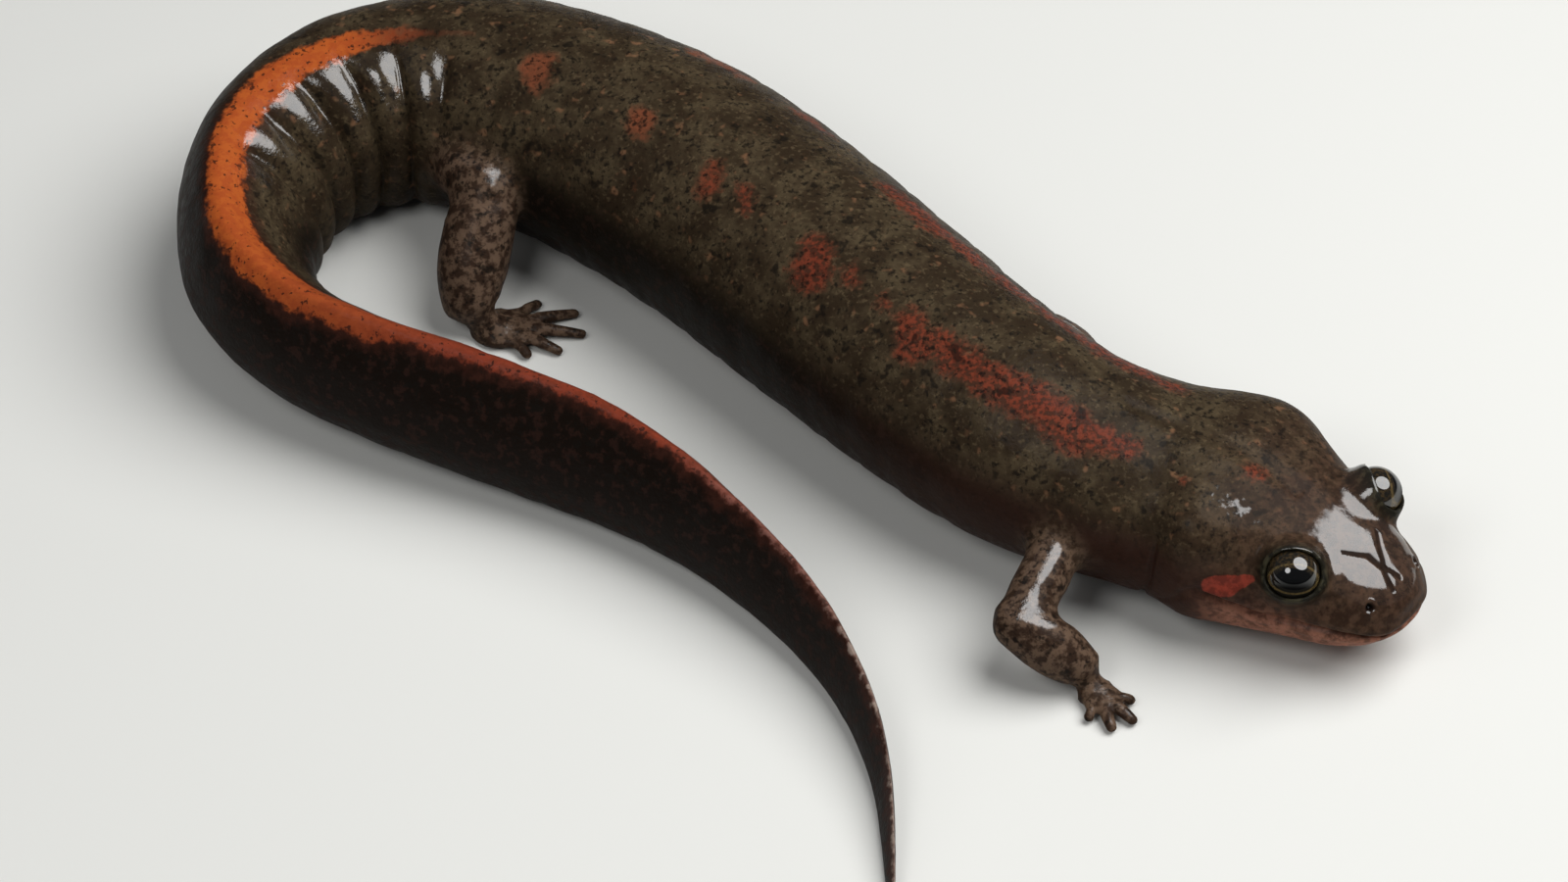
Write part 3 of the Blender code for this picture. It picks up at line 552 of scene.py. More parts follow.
EYE_PLACE = 3.95
EYE_OUT = 2.93
EYE_HEIGHT = 5.4
EYE_RADIUS = 1.1
EYE_FORWARD = 35.0
EYE_UP = 42.0
SOCKET_RADIUS = EYE_RADIUS + 0.05
HOLLOW_RADIUS = 1.35
HOLLOW_OUT = 0.35
MOUND_RADIUS = 1.5
MOUND_INSET = 0.6
LID_INNER = EYE_RADIUS + 0.015
LID_LONG = 0.31
LID_TALL = 0.2
LID_OPEN_LONG = 84.0
LID_OPEN_TALL = 63.0
LID_END = 118.0
LID_AROUND = 96
LID_SPREAD = 0.05


def eye_frame(side):
    """An eye's centre and its three directions: along the head, up across the opening, and outwards."""
    centre, back, left = along(np.array([EYE_PLACE]))
    turn = math.radians(EYE_FORWARD)
    rise = math.radians(EYE_UP)
    flat = side * left[0] * math.cos(turn) - back[0] * math.sin(turn)
    axis = np.array([*(flat * math.cos(rise)), math.sin(rise)])
    upward = np.array([0.0, 0.0, 1.0]) - axis * axis[2]
    upward /= np.linalg.norm(upward)
    middle = np.array([*(centre[0] + left[0] * side * EYE_OUT), EYE_HEIGHT])
    return middle, np.cross(upward, axis), upward, axis


def round_eye(eye, polar, radius, around):
    """Points at an angle from the eye's axis, a distance from its centre and a turn round the axis."""
    middle, ahead, upward, axis = eye
    flat = np.sin(polar) * radius
    return (middle + (flat * np.cos(around))[..., None] * ahead
            + (flat * np.sin(around))[..., None] * upward + (np.cos(polar) * radius)[..., None] * axis)


def plain_fields(**given):
    """The values of a piece that carries no body markings, with the given ones changed."""
    values = {"place": EYE_PLACE, "low": 0.0, "tail": 0.0, "red": OUTSIDE, "crest": OUTSIDE, "cheek": OUTSIDE,
              "limb": 0.0, "face": 1.0, "lips": 0.0, "lid": 0.0, "pit_shade": 0.0, "soft": 0.0, "wet": 0.9,
              "crease": NO_CREASE}
    values.update(given)
    return values


def lid_ring(name, eye):
    """A thick ring round the eyeball, whose section is a strip along it with a round free edge.

    The section runs up the inside, half round the edge and down the outside, and the edge's angle from
    the axis swings between the two openings with the turn round the eye.
    """
    turn = np.linspace(0.0, 2.0 * math.pi, LID_AROUND, endpoint=False)[:, None]
    opening = np.radians(LID_OPEN_LONG + (LID_OPEN_TALL - LID_OPEN_LONG) * np.sin(turn) ** 2)
    end = math.radians(LID_END)
    inner = np.linspace(1.0, 0.0, 7)
    bead = np.linspace(0.0, math.pi, 9)
    thick = LID_LONG + (LID_TALL - LID_LONG) * np.sin(turn) ** 2
    half = thick / 2.0
    middle = LID_INNER + half
    edge_angle = half / middle
    polar = np.concatenate([
        opening + (end - opening) * inner[None, :-1],
        opening - edge_angle * np.sin(bead),
        opening + (end - opening) * inner[None, ::-1][:, 1:],
    ], axis=1)
    radius = np.concatenate([
        np.full((len(turn), len(inner) - 1), LID_INNER),
        middle - half * np.cos(bead),
        LID_INNER + thick + LID_SPREAD * inner[::-1][1:],
    ], axis=1)
    grid = round_eye(eye, polar, radius, np.broadcast_to(turn, polar.shape))
    rings, around = grid.shape[:2]
    i, j = np.meshgrid(np.arange(rings), np.arange(around), indexing="ij")
    a = i * around + j
    b = i * around + (j + 1) % around
    c = (i + 1) % rings * around + (j + 1) % around
    d = (i + 1) % rings * around + j
    quads = np.stack([a, b, c, d], axis=-1).reshape(-1, 4)
    edge = 1.0 - step_up(np.degrees(polar - opening), 12.0, 34.0)
    upper = np.broadcast_to(step_up(np.sin(turn), 0.2, 0.8), polar.shape)
    own = plain_fields(soft=0.2, lid=edge, wet=0.1 + 0.85 * upper)
    own = {field: np.broadcast_to(value, polar.shape).ravel() for field, value in own.items()}
    return cast(name, grid.reshape(-1, 3), quads, np.empty((0, 3), int), own)


def globe(name, eye, radius, inset, fields, rings=40, around=64):
    """A sphere in rings about the eye's axis, set back along it by the inset."""
    middle, ahead, upward, axis = eye
    polar = (np.arange(1, rings) / rings * math.pi)[:, None]
    turn = np.linspace(0.0, 2.0 * math.pi, around, endpoint=False)[None, :]
    polar, turn = np.broadcast_arrays(polar, turn)
    sunk = (middle - axis * inset, ahead, upward, axis)
    return closed_piece(name, round_eye(sunk, polar, np.full(polar.shape, radius), turn), fields)


eyes = {side: eye_frame(side) for side in (1, -1)}
mounds = [globe("mound", eyes[side], MOUND_RADIUS, MOUND_INSET, plain_fields(soft=0.9, lid=0.1, wet=film))
          for side, film in ((1, 0.85), (-1, 0.1))]
sockets = [globe("socket", eyes[side], radius, inset, plain_fields(lid=1.0))
           for side in (1, -1) for radius, inset in ((SOCKET_RADIUS, 0.0), (HOLLOW_RADIUS, -HOLLOW_OUT))]
lids = [lid_ring("lid", eyes[side]) for side in (1, -1)]


# The legs: each is an upper limb from inside the body, a lower limb, a low palm or sole and blunt
# tapered toes, four in front and five behind. They are cast with the body as one skin.

FRONT_LEFT = (
    ((12.3, 0.9, 4.3), 1.25), ((12.6, 3.8, 4.0), 1.1), ((11.2, 7.4, 2.7), 1.1), ((12.2, 7.2, 1.9), 1.15),
    ((13.2, 6.2, 0.95), 0.85),
)
FRONT_RIGHT = (
    ((12.0, -3.6, 4.3), 1.25), ((11.0, -6.4, 3.6), 1.1), ((9.6, -9.2, 2.8), 1.1),
    ((10.8, -9.9, 2.15), 1.2), ((12.3, -10.25, 1.0), 0.88),
)
HIND_LEFT = (
    ((-13.2, 21.4, 4.3), 1.7), ((-12.7, 24.1, 4.2), 1.6), ((-12.0, 26.6, 3.7), 1.4),
    ((-12.6, 27.6, 2.7), 1.4), ((-13.6, 28.5, 1.3), 1.1),
)
HIND_RIGHT = (
    ((-14.5, 18.2, 4.3), 1.7), ((-13.6, 15.9, 4.9), 1.55), ((-12.7, 14.2, 4.9), 1.45),
    ((-13.3, 12.2, 3.1), 1.55), ((-13.5, 10.5, 1.3), 1.1),
)

# Toes: each one's turn to the left of the foot's heading, and its reach from the middle of the sole.
FRONT_TOES = ((-50.0, 1.4), (-18.0, 2.0), (10.0, 2.1), (42.0, 1.5))
HIND_TOES = ((-52.0, 2.0), (-27.0, 2.9), (-4.0, 3.6), (18.0, 3.4), (46.0, 2.3))
LEGS = (
    (FRONT_LEFT, 0.0, FRONT_TOES, 0.85, 0.85, 12.5),
    (FRONT_RIGHT, -55.0, FRONT_TOES, 0.85, 0.85, 12.5),
    (HIND_LEFT, 80.0, HIND_TOES, 1.15, 1.3, 48.0),
    (HIND_RIGHT, 0.0, HIND_TOES, 1.15, 1.3, 48.0),
)
SOLE_HEIGHT = 0.36
SOLE_HALF_HEIGHT = 0.46

# A toe: its radii at the root, knuckle and tip, the height of its tip, how far outside the middle of the
# sole it starts, its knuckle's share of the way and rise, and how far its pad stands past the tip.
TOE_RADII = (0.4, 0.31, 0.22)
TOE_TIP_HEIGHT = 0.22
TOE_START = 0.2
TOE_KNUCKLE = 0.55
TOE_ARCH = 0.06
TOE_PAD = 0.12
TOE_FLATNESS = 0.8

# The heel under the ankle, and the instep from the ankle to the sole, with their shares of the ankle's
# radius.
HEEL_DROP = 0.55
HEEL_AHEAD = 0.1
HEEL_SHARE = 0.75
INSTEP_RISE = 0.3
INSTEP_DROP = 0.45
INSTEP_AHEAD = (0.45, 0.35)
INSTEP_SHARES = (0.8, 0.62)
INSTEP_END = 0.42

# The unevenness of a limb's skin: its height, the size of its waves and its seed.
LIMB_UNEVENNESS = 0.03
LIMB_WAVES = 0.8
LIMB_SEED = 7

# How wet the front legs, the hind legs and the toes are.
FRONT_FILM = 0.7
HIND_FILM = 0.55
TOE_FILM = 0.42


def limb_piece(name, points, radii, side, rings, around, fields, flatten=1.0):
    """A limb with round ends: an ellipse carried along a smooth curve, level with a given direction.

    The rings lie closer towards both ends, where the radius falls off as a quarter circle.
    """
    points = np.array(points, float)
    lengths, line = natural_spline(points, 0.01)
    knots = lengths[[np.argmin(np.linalg.norm(line - p, axis=1)) for p in points]]
    at = lengths[-1] * (0.5 - 0.5 * np.cos(np.linspace(0.0, math.pi, rings + 2)[1:-1]))
    size = eased(at, knots, np.array(radii, float))
    for from_end, radius in ((at, radii[0]), (lengths[-1] - at, radii[-1])):
        size = size * np.sqrt(np.clip(1.0 - np.clip(1.0 - from_end / radius, 0.0, 1.0) ** 2, 0.0, 1.0))
    here = np.stack([np.interp(at, lengths, line[:, k]) for k in range(3)], axis=1)
    run = np.stack([np.interp(at, lengths[1:], np.diff(line[:, k])) for k in range(3)], axis=1)
    run /= np.linalg.norm(run, axis=1)[:, None]
    across = side - run * (run @ side)[:, None]
    across /= np.linalg.norm(across, axis=1)[:, None]
    rise = np.cross(across, run)
    turn = np.linspace(0.0, 2.0 * math.pi, around, endpoint=False)
    grid = (here[:, None] + (size[:, None] * np.cos(turn))[..., None] * across[:, None]
            + (size[:, None] * flatten * np.sin(turn))[..., None] * rise[:, None])
    uneven = LIMB_UNEVENNESS * waviness(grid, LIMB_WAVES, LIMB_SEED) * np.minimum(size, 1.0)[:, None]
    grid = grid + uneven[..., None] * outward(grid)
    return closed_piece(name, rested(grid), fields)


def sole_piece(middle, ahead, half_width, half_length, fields):
    """A flattened ball, wider across its front half and higher at the heel."""
    across = np.array([-ahead[1], ahead[0], 0.0])
    polar = (np.arange(1, 22) / 22 * math.pi)[:, None]
    turn = np.linspace(0.0, 2.0 * math.pi, 40, endpoint=False)[None, :]
    wide = half_width * (1.0 + 0.14 * np.cos(polar))
    high = SOLE_HALF_HEIGHT * (1.1 - 0.35 * np.cos(polar))
    grid = (middle + (np.cos(polar) * half_length * 1.1 + 0.0 * turn)[..., None] * ahead
            + (np.sin(polar) * wide * np.cos(turn))[..., None] * across
            + (np.sin(polar) * high * np.sin(turn))[..., None] * np.array([0.0, 0.0, 1.0]))
    return closed_piece("sole", rested(grid), fields)


limbs = []
for joints, heading, toes, half_sole, half_length, root in LEGS:
    points = np.array([joint[0] for joint in joints]) - np.array([*ORIGIN, 0.0])
    radii = [joint[1] for joint in joints]
    way = math.radians(heading)
    ahead = np.array([math.cos(way), math.sin(way), 0.0])
    level = np.array([-ahead[1], ahead[0], 0.0])
    thigh = points[2] - points[0]
    thigh_side = np.cross(thigh, (0.0, 0.0, 1.0))
    thigh_side /= np.linalg.norm(thigh_side)
    film = FRONT_FILM if len(toes) == len(FRONT_TOES) else HIND_FILM
    root_fields = plain_fields(place=root, limb=1.0, soft=1.0, face=0.0, wet=film)
    toe_fields = plain_fields(place=root, limb=1.0, soft=0.22, face=0.0, wet=TOE_FILM)
    bend = points[2] + (points[2] - points[1]) / np.linalg.norm(points[2] - points[1]) * radii[2]
    limbs.append(limb_piece("upper_limb", [points[0], points[1], bend], radii[:3], thigh_side, 40, 44,
                            root_fields))
    start = points[2] - (points[3] - points[2]) / np.linalg.norm(points[3] - points[2]) * radii[2]
    drop = (points[4] - points[3]) / np.linalg.norm(points[4] - points[3])
    heel = points[4] + drop * HEEL_DROP + ahead * HEEL_AHEAD
    limbs.append(limb_piece("lower_limb", [start, points[3], points[4], heel],
                            [radii[2], radii[3], radii[4], radii[4] * HEEL_SHARE], level, 44, 44,
                            dict(root_fields, soft=0.7)))
    middle = np.array([points[4][0], points[4][1], SOLE_HEIGHT]) + ahead * half_length
    limbs.append(sole_piece(middle, ahead, half_sole, half_length, dict(toe_fields, soft=0.6)))
    instep = [points[4] - drop * INSTEP_RISE,
              points[4] + ahead * half_length * INSTEP_AHEAD[0] - np.array([0.0, 0.0, INSTEP_DROP]),
              middle + ahead * half_length * INSTEP_AHEAD[1]]
    limbs.append(limb_piece("instep", instep, [*(radii[4] * np.array(INSTEP_SHARES)), INSTEP_END], level,
                            30, 32, dict(toe_fields, soft=0.5)))
    for spread, reach in toes:
        turn = way + math.radians(spread)
        point = np.array([math.cos(turn), math.sin(turn), 0.0])
        bottom = middle + point * TOE_START
        knuckle = middle + point * TOE_KNUCKLE * reach + np.array([0.0, 0.0, TOE_ARCH])
        tip = middle + point * (reach + TOE_PAD)
        tip[2] = TOE_TIP_HEIGHT
        toe_side = np.array([-point[1], point[0], 0.0])
        limbs.append(limb_piece("toe", [bottom, knuckle, tip], TOE_RADII, toe_side, 16, 16, toe_fields,
                                TOE_FLATNESS))


# Joining the skin: the pieces become one closed surface, the sockets are sunk in it, and the joins are
# worked smooth.

def combine(target, pieces, operation):
    """Joins closed pieces to target, or takes them away from it, with one Boolean, and removes them."""
    group = bpy.data.collections.new("pieces")
    for piece in pieces:
        bpy.context.scene.collection.objects.unlink(piece)
        group.objects.link(piece)
    cut = target.modifiers.new("join", "BOOLEAN")
    cut.operation = operation
    cut.operand_type = "COLLECTION"
    cut.collection = group
    cut.solver = "MANIFOLD"
    made = bpy.data.meshes.new_from_object(target.evaluated_get(bpy.context.evaluated_depsgraph_get()))
    target.modifiers.clear()
    target.data = made
    for piece in pieces:
        bpy.data.objects.remove(piece)
    bpy.data.collections.remove(group)


def read(mesh, name):
    """One of the mesh's values for each point, as an array."""
    values = np.empty(len(mesh.vertices), np.float32)
    mesh.attributes[name].data.foreach_get("value", values)
    return values.astype(float)


MARKER = np.array([1.0, 1.7, 2.3])
MARKER_MISS = 2e-3


def remember(mesh):
    """Keeps x + 1.7 y + 2.3 z of each point as a value, so that new points can be told from old ones.

    Where a cut makes a point, the value it is given is not the one that its own place would have.
    """
    kept = mesh.attributes.get("kept") or mesh.attributes.new("kept", "FLOAT", "POINT")
    points = np.empty(len(mesh.vertices) * 3, np.float32)
    mesh.vertices.foreach_get("co", points)
    kept.data.foreach_set("value", (points.reshape(-1, 3) @ MARKER / MM).astype(np.float32))


# The least reach of the smoothing in millimetres, the reach from which it works in full, how often it is
# passed on and applied, and how far a point moves each time towards the mean of its neighbours.
LEAST_REACH = 0.1
FULL_REACH = 0.35
SPREAD_STEPS = 40
SMOOTHING_STEPS = 30
SMOOTHING = 0.6


def work_joins(mesh):
    """Rounds the joins: points near a new edge move towards the mean of their neighbours.

    How far the rounding reaches is the largest reach kept by the pieces that meet there, and it fades
    with the distance from the edge. The markings' values are evened out in the same way.
    """
    count = len(mesh.vertices)
    flat = np.empty(count * 3, np.float32)
    mesh.vertices.foreach_get("co", flat)
    points = flat.reshape(-1, 3).astype(float) / MM
    ends = np.empty(len(mesh.edges) * 2, np.int32)
    mesh.edges.foreach_get("vertices", ends)
    a, b = ends.reshape(-1, 2).T
    fresh = np.abs(read(mesh, "kept") - points @ MARKER) > MARKER_MISS

    def mean_of(values, weights):
        """The weighted mean of each point's neighbours, or its own value where they all weigh nothing."""
        given = values * weights
        total = np.bincount(a, given[b], count) + np.bincount(b, given[a], count)
        share = np.bincount(a, weights[b], count) + np.bincount(b, weights[a], count)
        return np.where(share > 0.0, total / np.maximum(share, 1e-9), values)

    names = [name for name in fields if name != "soft"]
    values = {name: read(mesh, name) for name in names}
    old = (~fresh).astype(float)
    for name in names:
        values[name] = np.where(fresh, mean_of(values[name], old), values[name])
    reach = read(mesh, "soft")
    left = np.zeros(count)
    near = np.zeros(count)
    np.maximum.at(near, a[fresh[a]], reach[b[fresh[a]]] * ~fresh[b[fresh[a]]])
    np.maximum.at(near, b[fresh[b]], reach[a[fresh[b]]] * ~fresh[a[fresh[b]]])
    left[fresh] = np.maximum(near[fresh], LEAST_REACH)
    span = np.linalg.norm(points[a] - points[b], axis=1)
    for _ in range(SPREAD_STEPS):
        for one, two in ((a, b), (b, a)):
            np.maximum.at(left, two, left[one] - span)
    weight = np.clip(left / FULL_REACH, 0.0, 1.0)
    every = np.ones(count)
    for _ in range(SMOOTHING_STEPS):
        for k in range(3):
            points[:, k] += SMOOTHING * weight * (mean_of(points[:, k], every) - points[:, k])
    for name in names:
        for _ in range(SMOOTHING_STEPS):
            values[name] += SMOOTHING * weight * (mean_of(values[name], every) - values[name])
    mesh.vertices.foreach_set("co", (points * MM).astype(np.float32).ravel())
    for name in names:
        mesh.attributes[name].data.foreach_set("value", values[name].astype(np.float32))
    mesh.update()


# A red spot on each cheek, pointed towards the eye, and a faint rusty one on the left eye's mound. They
# run over the joins, so they are painted once the skin is whole.
CHEEK_MARKS = ((6.95, 80.0, 0.56, 6.4, 76.5, 0.5), (6.4, 76.5, 0.5, 5.35, 64.0, 0.12))
MOUND_MARK = (3.7, 31.0, 0.16, 3.4, 34.0, 0.1)
FILM_TOP = (0.50, 0.70)
LEG_FILM_TOP = (0.78, 0.93)


def paint_spots(mesh, name, marks):
    """Sets one of the mesh's values to the millimetres inside the nearest mark, negative outside.

    A mark is a line between two places and turns on the plain body, with a radius at each end.
    """
    points = np.empty(len(mesh.vertices) * 3, np.float32)
    mesh.vertices.foreach_get("co", points)
    points = points.reshape(-1, 3) / MM
    field = read(mesh, name)
    for s0, t0, radius, s1, t1, last_radius in marks:
        start, end = body_surface(np.array([s0, s1]), np.radians([t0, t1]))
        run = end - start
        share = np.clip((points - start) @ run / (run @ run), 0.0, 1.0)
        apart = np.linalg.norm(points - start - share[:, None] * run, axis=1)
        field = np.maximum(field, radius + (last_radius - radius) * share - apart)
    mesh.attributes[name].data.foreach_set("value", field.astype(np.float32))


def drain(mesh):
    """Takes the water's film off the sides and the underside, and off all but the top of the legs.

    It is dry where the upward part of the skin's normal is under the first of two limits, and keeps the
    whole film above the second.
    """
    facing = np.empty(len(mesh.vertices) * 3, np.float32)
    mesh.vertex_normals.foreach_get("vector", facing)
    top = facing[2::3]
    on_leg = np.clip(read(mesh, "limb"), 0.0, 1.0)
    wet = read(mesh, "wet") * step_up(top, *FILM_TOP) * (1.0 - on_leg * (1.0 - step_up(top, *LEG_FILM_TOP)))
    mesh.attributes["wet"].data.foreach_set("value", wet.astype(np.float32))


remember(skin.data)
for piece in mounds + limbs:
    remember(piece.data)
combine(skin, mounds + limbs, "UNION")
work_joins(skin.data)
remember(skin.data)
for piece in sockets + lids:
    remember(piece.data)
combine(skin, sockets, "DIFFERENCE")
combine(skin, lids, "UNION")
work_joins(skin.data)
for side in (1.0, -1.0):
    marks = [(s0, side * t0, r0, s1, side * t1, r1) for s0, t0, r0, s1, t1, r1 in CHEEK_MARKS]
    paint_spots(skin.data, "cheek", marks)
paint_spots(skin.data, "red", [MOUND_MARK])
drain(skin.data)
for extra in ("kept", "soft"):
    skin.data.attributes.remove(skin.data.attributes[extra])
skin.data.shade_smooth()


# The skin's finish: brown-black pigment with black and tan flecks under a film of water, red blotches,
# an orange crest, dark tail sides, flanks darkened partly by their own pigment and partly by painted shade,
# painted shade in the narrowest creases and the nostrils, and a pinkish brown snout.

def add(tree, kind, values=None, **settings):
    """A node with its settings, and its inputs set or linked by name or number."""
    made = tree.nodes.new(kind)
    for name, value in settings.items():
        setattr(made, name, value)
    for name, value in (values or {}).items():
        if isinstance(value, bpy.types.NodeSocket):
            tree.links.new(value, made.inputs[name])
        else:
            made.inputs[name].default_value = value
    return made


def amount(tree, name):
    """One of the skin's values for each point."""
    return add(tree, "ShaderNodeAttribute", attribute_name=name).outputs["Fac"]


def sum_of(tree, a, b):
    """Two values added."""
    return add(tree, "ShaderNodeMath", {0: a, 1: b}, operation="ADD").outputs[0]


def product(tree, a, b):
    """Two values multiplied."""
    return add(tree, "ShaderNodeMath", {0: a, 1: b}, operation="MULTIPLY").outputs[0]


def ramp(tree, value, low, high, bottom=0.0, top=1.0):
    """A smooth rise from bottom at low to top at high."""
    return add(tree, "ShaderNodeMapRange",
               {"Value": value, "From Min": low, "From Max": high, "To Min": bottom, "To Max": top},
               interpolation_type="SMOOTHSTEP").outputs["Result"]


def blend(tree, share, a, b):
    """Colour a where the share is 0 and b where it is 1."""
    mixed = add(tree, "ShaderNodeMix", data_type="RGBA")
    for socket, value in zip((mixed.inputs[0], mixed.inputs[6], mixed.inputs[7]), (share, a, b)):
        if isinstance(value, bpy.types.NodeSocket):
            tree.links.new(value, socket)
        elif isinstance(value, tuple):
            socket.default_value = (*value, 1.0)
        else:
            socket.default_value = value
    return mixed.outputs[2]


def grain(tree, size, detail=2.0, rough=0.5, shift=0.0):
    """Noise on the model's own coordinates, with features of about the given size in millimetres."""
    where = add(tree, "ShaderNodeTexCoord").outputs["Object"]
    moved = add(tree, "ShaderNodeMapping", {"Vector": where, "Location": (shift, shift * 0.7, shift * 1.3)})
    made = add(tree, "ShaderNodeTexNoise", {"Vector": moved.outputs[0], "Scale": 1.0 / (size * MM),
                                            "Detail": detail, "Roughness": rough})
    return made.outputs["Fac"]


BUMP_HEIGHT = 0.07


def skin_finish():
    """Pigment layers from the deepest up, then the wet surface over a fine granular bump."""
    made = bpy.data.materials.new("wet_skin")
    made.use_nodes = True
    tree = made.node_tree
    shader = tree.nodes["Principled BSDF"]
    broad = grain(tree, 1.6, 3.0, 0.55, 0.3)
    fine = grain(tree, 0.42, 3.0, 0.6, 0.1)
    speck = grain(tree, 0.22, 2.0, 0.5, 0.7)
    other = grain(tree, 0.26, 2.5, 0.65, 1.9)
    ragged = sum_of(tree, product(tree, sum_of(tree, fine, -0.5), 1.5),
                    product(tree, sum_of(tree, broad, -0.5), 1.4))

    colour = blend(tree, ramp(tree, broad, 0.36, 0.64), (0.027, 0.018, 0.010), (0.062, 0.045, 0.025))
    colour = blend(tree, ramp(tree, fine, 0.35, 0.6, 0.5, 0.0), colour, (0.022, 0.013, 0.008))
    tan = ramp(tree, speck, 0.54, 0.72, 0.0, 0.5)
    colour = blend(tree, tan, colour, (0.105, 0.076, 0.042))
    dots = ramp(tree, grain(tree, 0.5, 1.0, 0.4, 3.1), 0.64, 0.80, 0.0, 0.6)
    colour = blend(tree, dots, colour, (0.20, 0.100, 0.052))
    # The low flanks and the underside turn darker: partly the skin's own dark pigment, partly painted shade
    # for the shadow on the sides.
    low = amount(tree, "low")
    place = amount(tree, "place")
    front = ramp(tree, place, 30.0, 12.0)
    dark_shaded_flank = blend(tree, front, (0.0095, 0.0070, 0.0046), (0.032, 0.0140, 0.0092))
    dark_shaded_flank = blend(tree, ramp(tree, fine, 0.52, 0.64, 0.0, 0.5), dark_shaded_flank, (0.036, 0.019, 0.013))
    flank_dark_and_shade = ramp(tree, sum_of(tree, low, product(tree, ragged, 0.35)), 0.1, 0.85)
    colour = blend(tree, flank_dark_and_shade, colour, dark_shaded_flank)
    tail_side = blend(tree, ramp(tree, fine, 0.50, 0.64, 0.0, 0.7), (0.0072, 0.0044, 0.0030),
                      (0.024, 0.0105, 0.0075))
    colour = blend(tree, amount(tree, "tail"), colour, tail_side)

    face = amount(tree, "face")
    face_skin = blend(tree, ramp(tree, fine, 0.4, 0.62), (0.029, 0.0145, 0.0095), (0.068, 0.035, 0.022))
    colour = blend(tree, product(tree, face, 0.75), colour, face_skin)
    lips = product(tree, amount(tree, "lips"), ramp(tree, fine, 0.36, 0.6, 0.35, 1.0))
    colour = blend(tree, lips, colour, (0.27, 0.118, 0.078))

    limb = amount(tree, "limb")
    leg_skin = blend(tree, ramp(tree, fine, 0.4, 0.6), (0.030, 0.017, 0.011), (0.108, 0.068, 0.045))
    colour = blend(tree, limb, colour, leg_skin)

    red = ramp(tree, sum_of(tree, amount(tree, "red"), product(tree, ragged, 0.9)), -0.32, 0.42)
    brick = blend(tree, ramp(tree, speck, 0.40, 0.60), (0.058, 0.020, 0.012), (0.160, 0.032, 0.016))
    brick = blend(tree, ramp(tree, place, 32.0, 40.0, 0.0, 0.75), brick, (0.165, 0.052, 0.024))
    colour = blend(tree, product(tree, red, 0.88), colour, brick)

    crowded = sum_of(tree, other, product(tree, sum_of(tree, broad, -0.5), 0.22))
    black = ramp(tree, crowded, 0.52, 0.70, 0.0, 0.85)
    spots = sum_of(tree, grain(tree, 0.7, 2.0, 0.6, 4.7), product(tree, sum_of(tree, speck, -0.5), 0.25))
    spots = ramp(tree, spots, 0.60, 0.70, 0.0, 0.8)
    black = add(tree, "ShaderNodeMath", {0: black, 1: spots}, operation="MAXIMUM").outputs[0]
    clear = ramp(tree, sum_of(tree, low, product(tree, face, 0.5)), 0.8, 0.1, 0.35, 1.0)
    colour = blend(tree, product(tree, black, clear), colour, (0.0070, 0.0055, 0.0042))

    bright = blend(tree, ramp(tree, place, 66.0, 80.0), (0.40, 0.088, 0.018), (0.19, 0.034, 0.016))
    bright = blend(tree, ramp(tree, place, 88.0, 95.0), bright, (0.17, 0.075, 0.058))
    bright = blend(tree, ramp(tree, place, 96.0, 102.0), bright, (0.26, 0.20, 0.165))
    bright = blend(tree, ramp(tree, place, 56.0, 51.5), bright, (0.13, 0.034, 0.018))
    bright = blend(tree, ramp(tree, fine, 0.6, 0.42, 0.0, 0.55), bright,
                   blend(tree, ramp(tree, place, 64.0, 84.0), (0.30, 0.050, 0.014), (0.11, 0.024, 0.012)))
    inside = sum_of(tree, amount(tree, "crest"), product(tree, ragged, 0.55))
    fringe = sum_of(tree, amount(tree, "crest"), product(tree, ragged, 0.9))
    fringe = product(tree, ramp(tree, fringe, -0.85, 0.1, 0.0, 0.75), ramp(tree, place, 56.0, 64.0))
    colour = blend(tree, fringe, colour, (0.042, 0.013, 0.008))
    crest = product(tree, ramp(tree, inside, -0.14, 0.18), ramp(tree, place, 50.5, 55.5, 0.25, 1.0))
    colour = blend(tree, crest, colour, bright)
    edge = ramp(tree, inside, 0.55, 0.05)
    specked = sum_of(tree, other, product(tree, edge, 0.06))
    colour = blend(tree, product(tree, crest, ramp(tree, specked, 0.60, 0.68, 0.0, 0.85)), colour,
                   (0.022, 0.010, 0.007))

    cheek = ramp(tree, sum_of(tree, amount(tree, "cheek"), product(tree, ragged, 0.10)), -0.03, 0.05)
    cheek_red = blend(tree, ramp(tree, fine, 0.4, 0.62), (0.13, 0.024, 0.015), (0.24, 0.040, 0.024))
    colour = blend(tree, cheek, colour, cheek_red)
    lid_skin = blend(tree, ramp(tree, fine, 0.45, 0.62), (0.010, 0.009, 0.006), (0.036, 0.032, 0.019))
    colour = blend(tree, amount(tree, "lid"), colour, lid_skin)
    # Painted shade: the narrowest creases are darkened as if shadowed.
    shade = ramp(tree, amount(tree, "crease"), 0.12, 0.06, 0.0, 0.75)
    colour = blend(tree, shade, colour, (0.012, 0.007, 0.005))
    # Painted shade: the nostrils' pits are darkened as if in shadow.
    colour = blend(tree, amount(tree, "pit_shade"), colour, (0.004, 0.003, 0.003))
    tree.links.new(colour, shader.inputs["Base Color"])

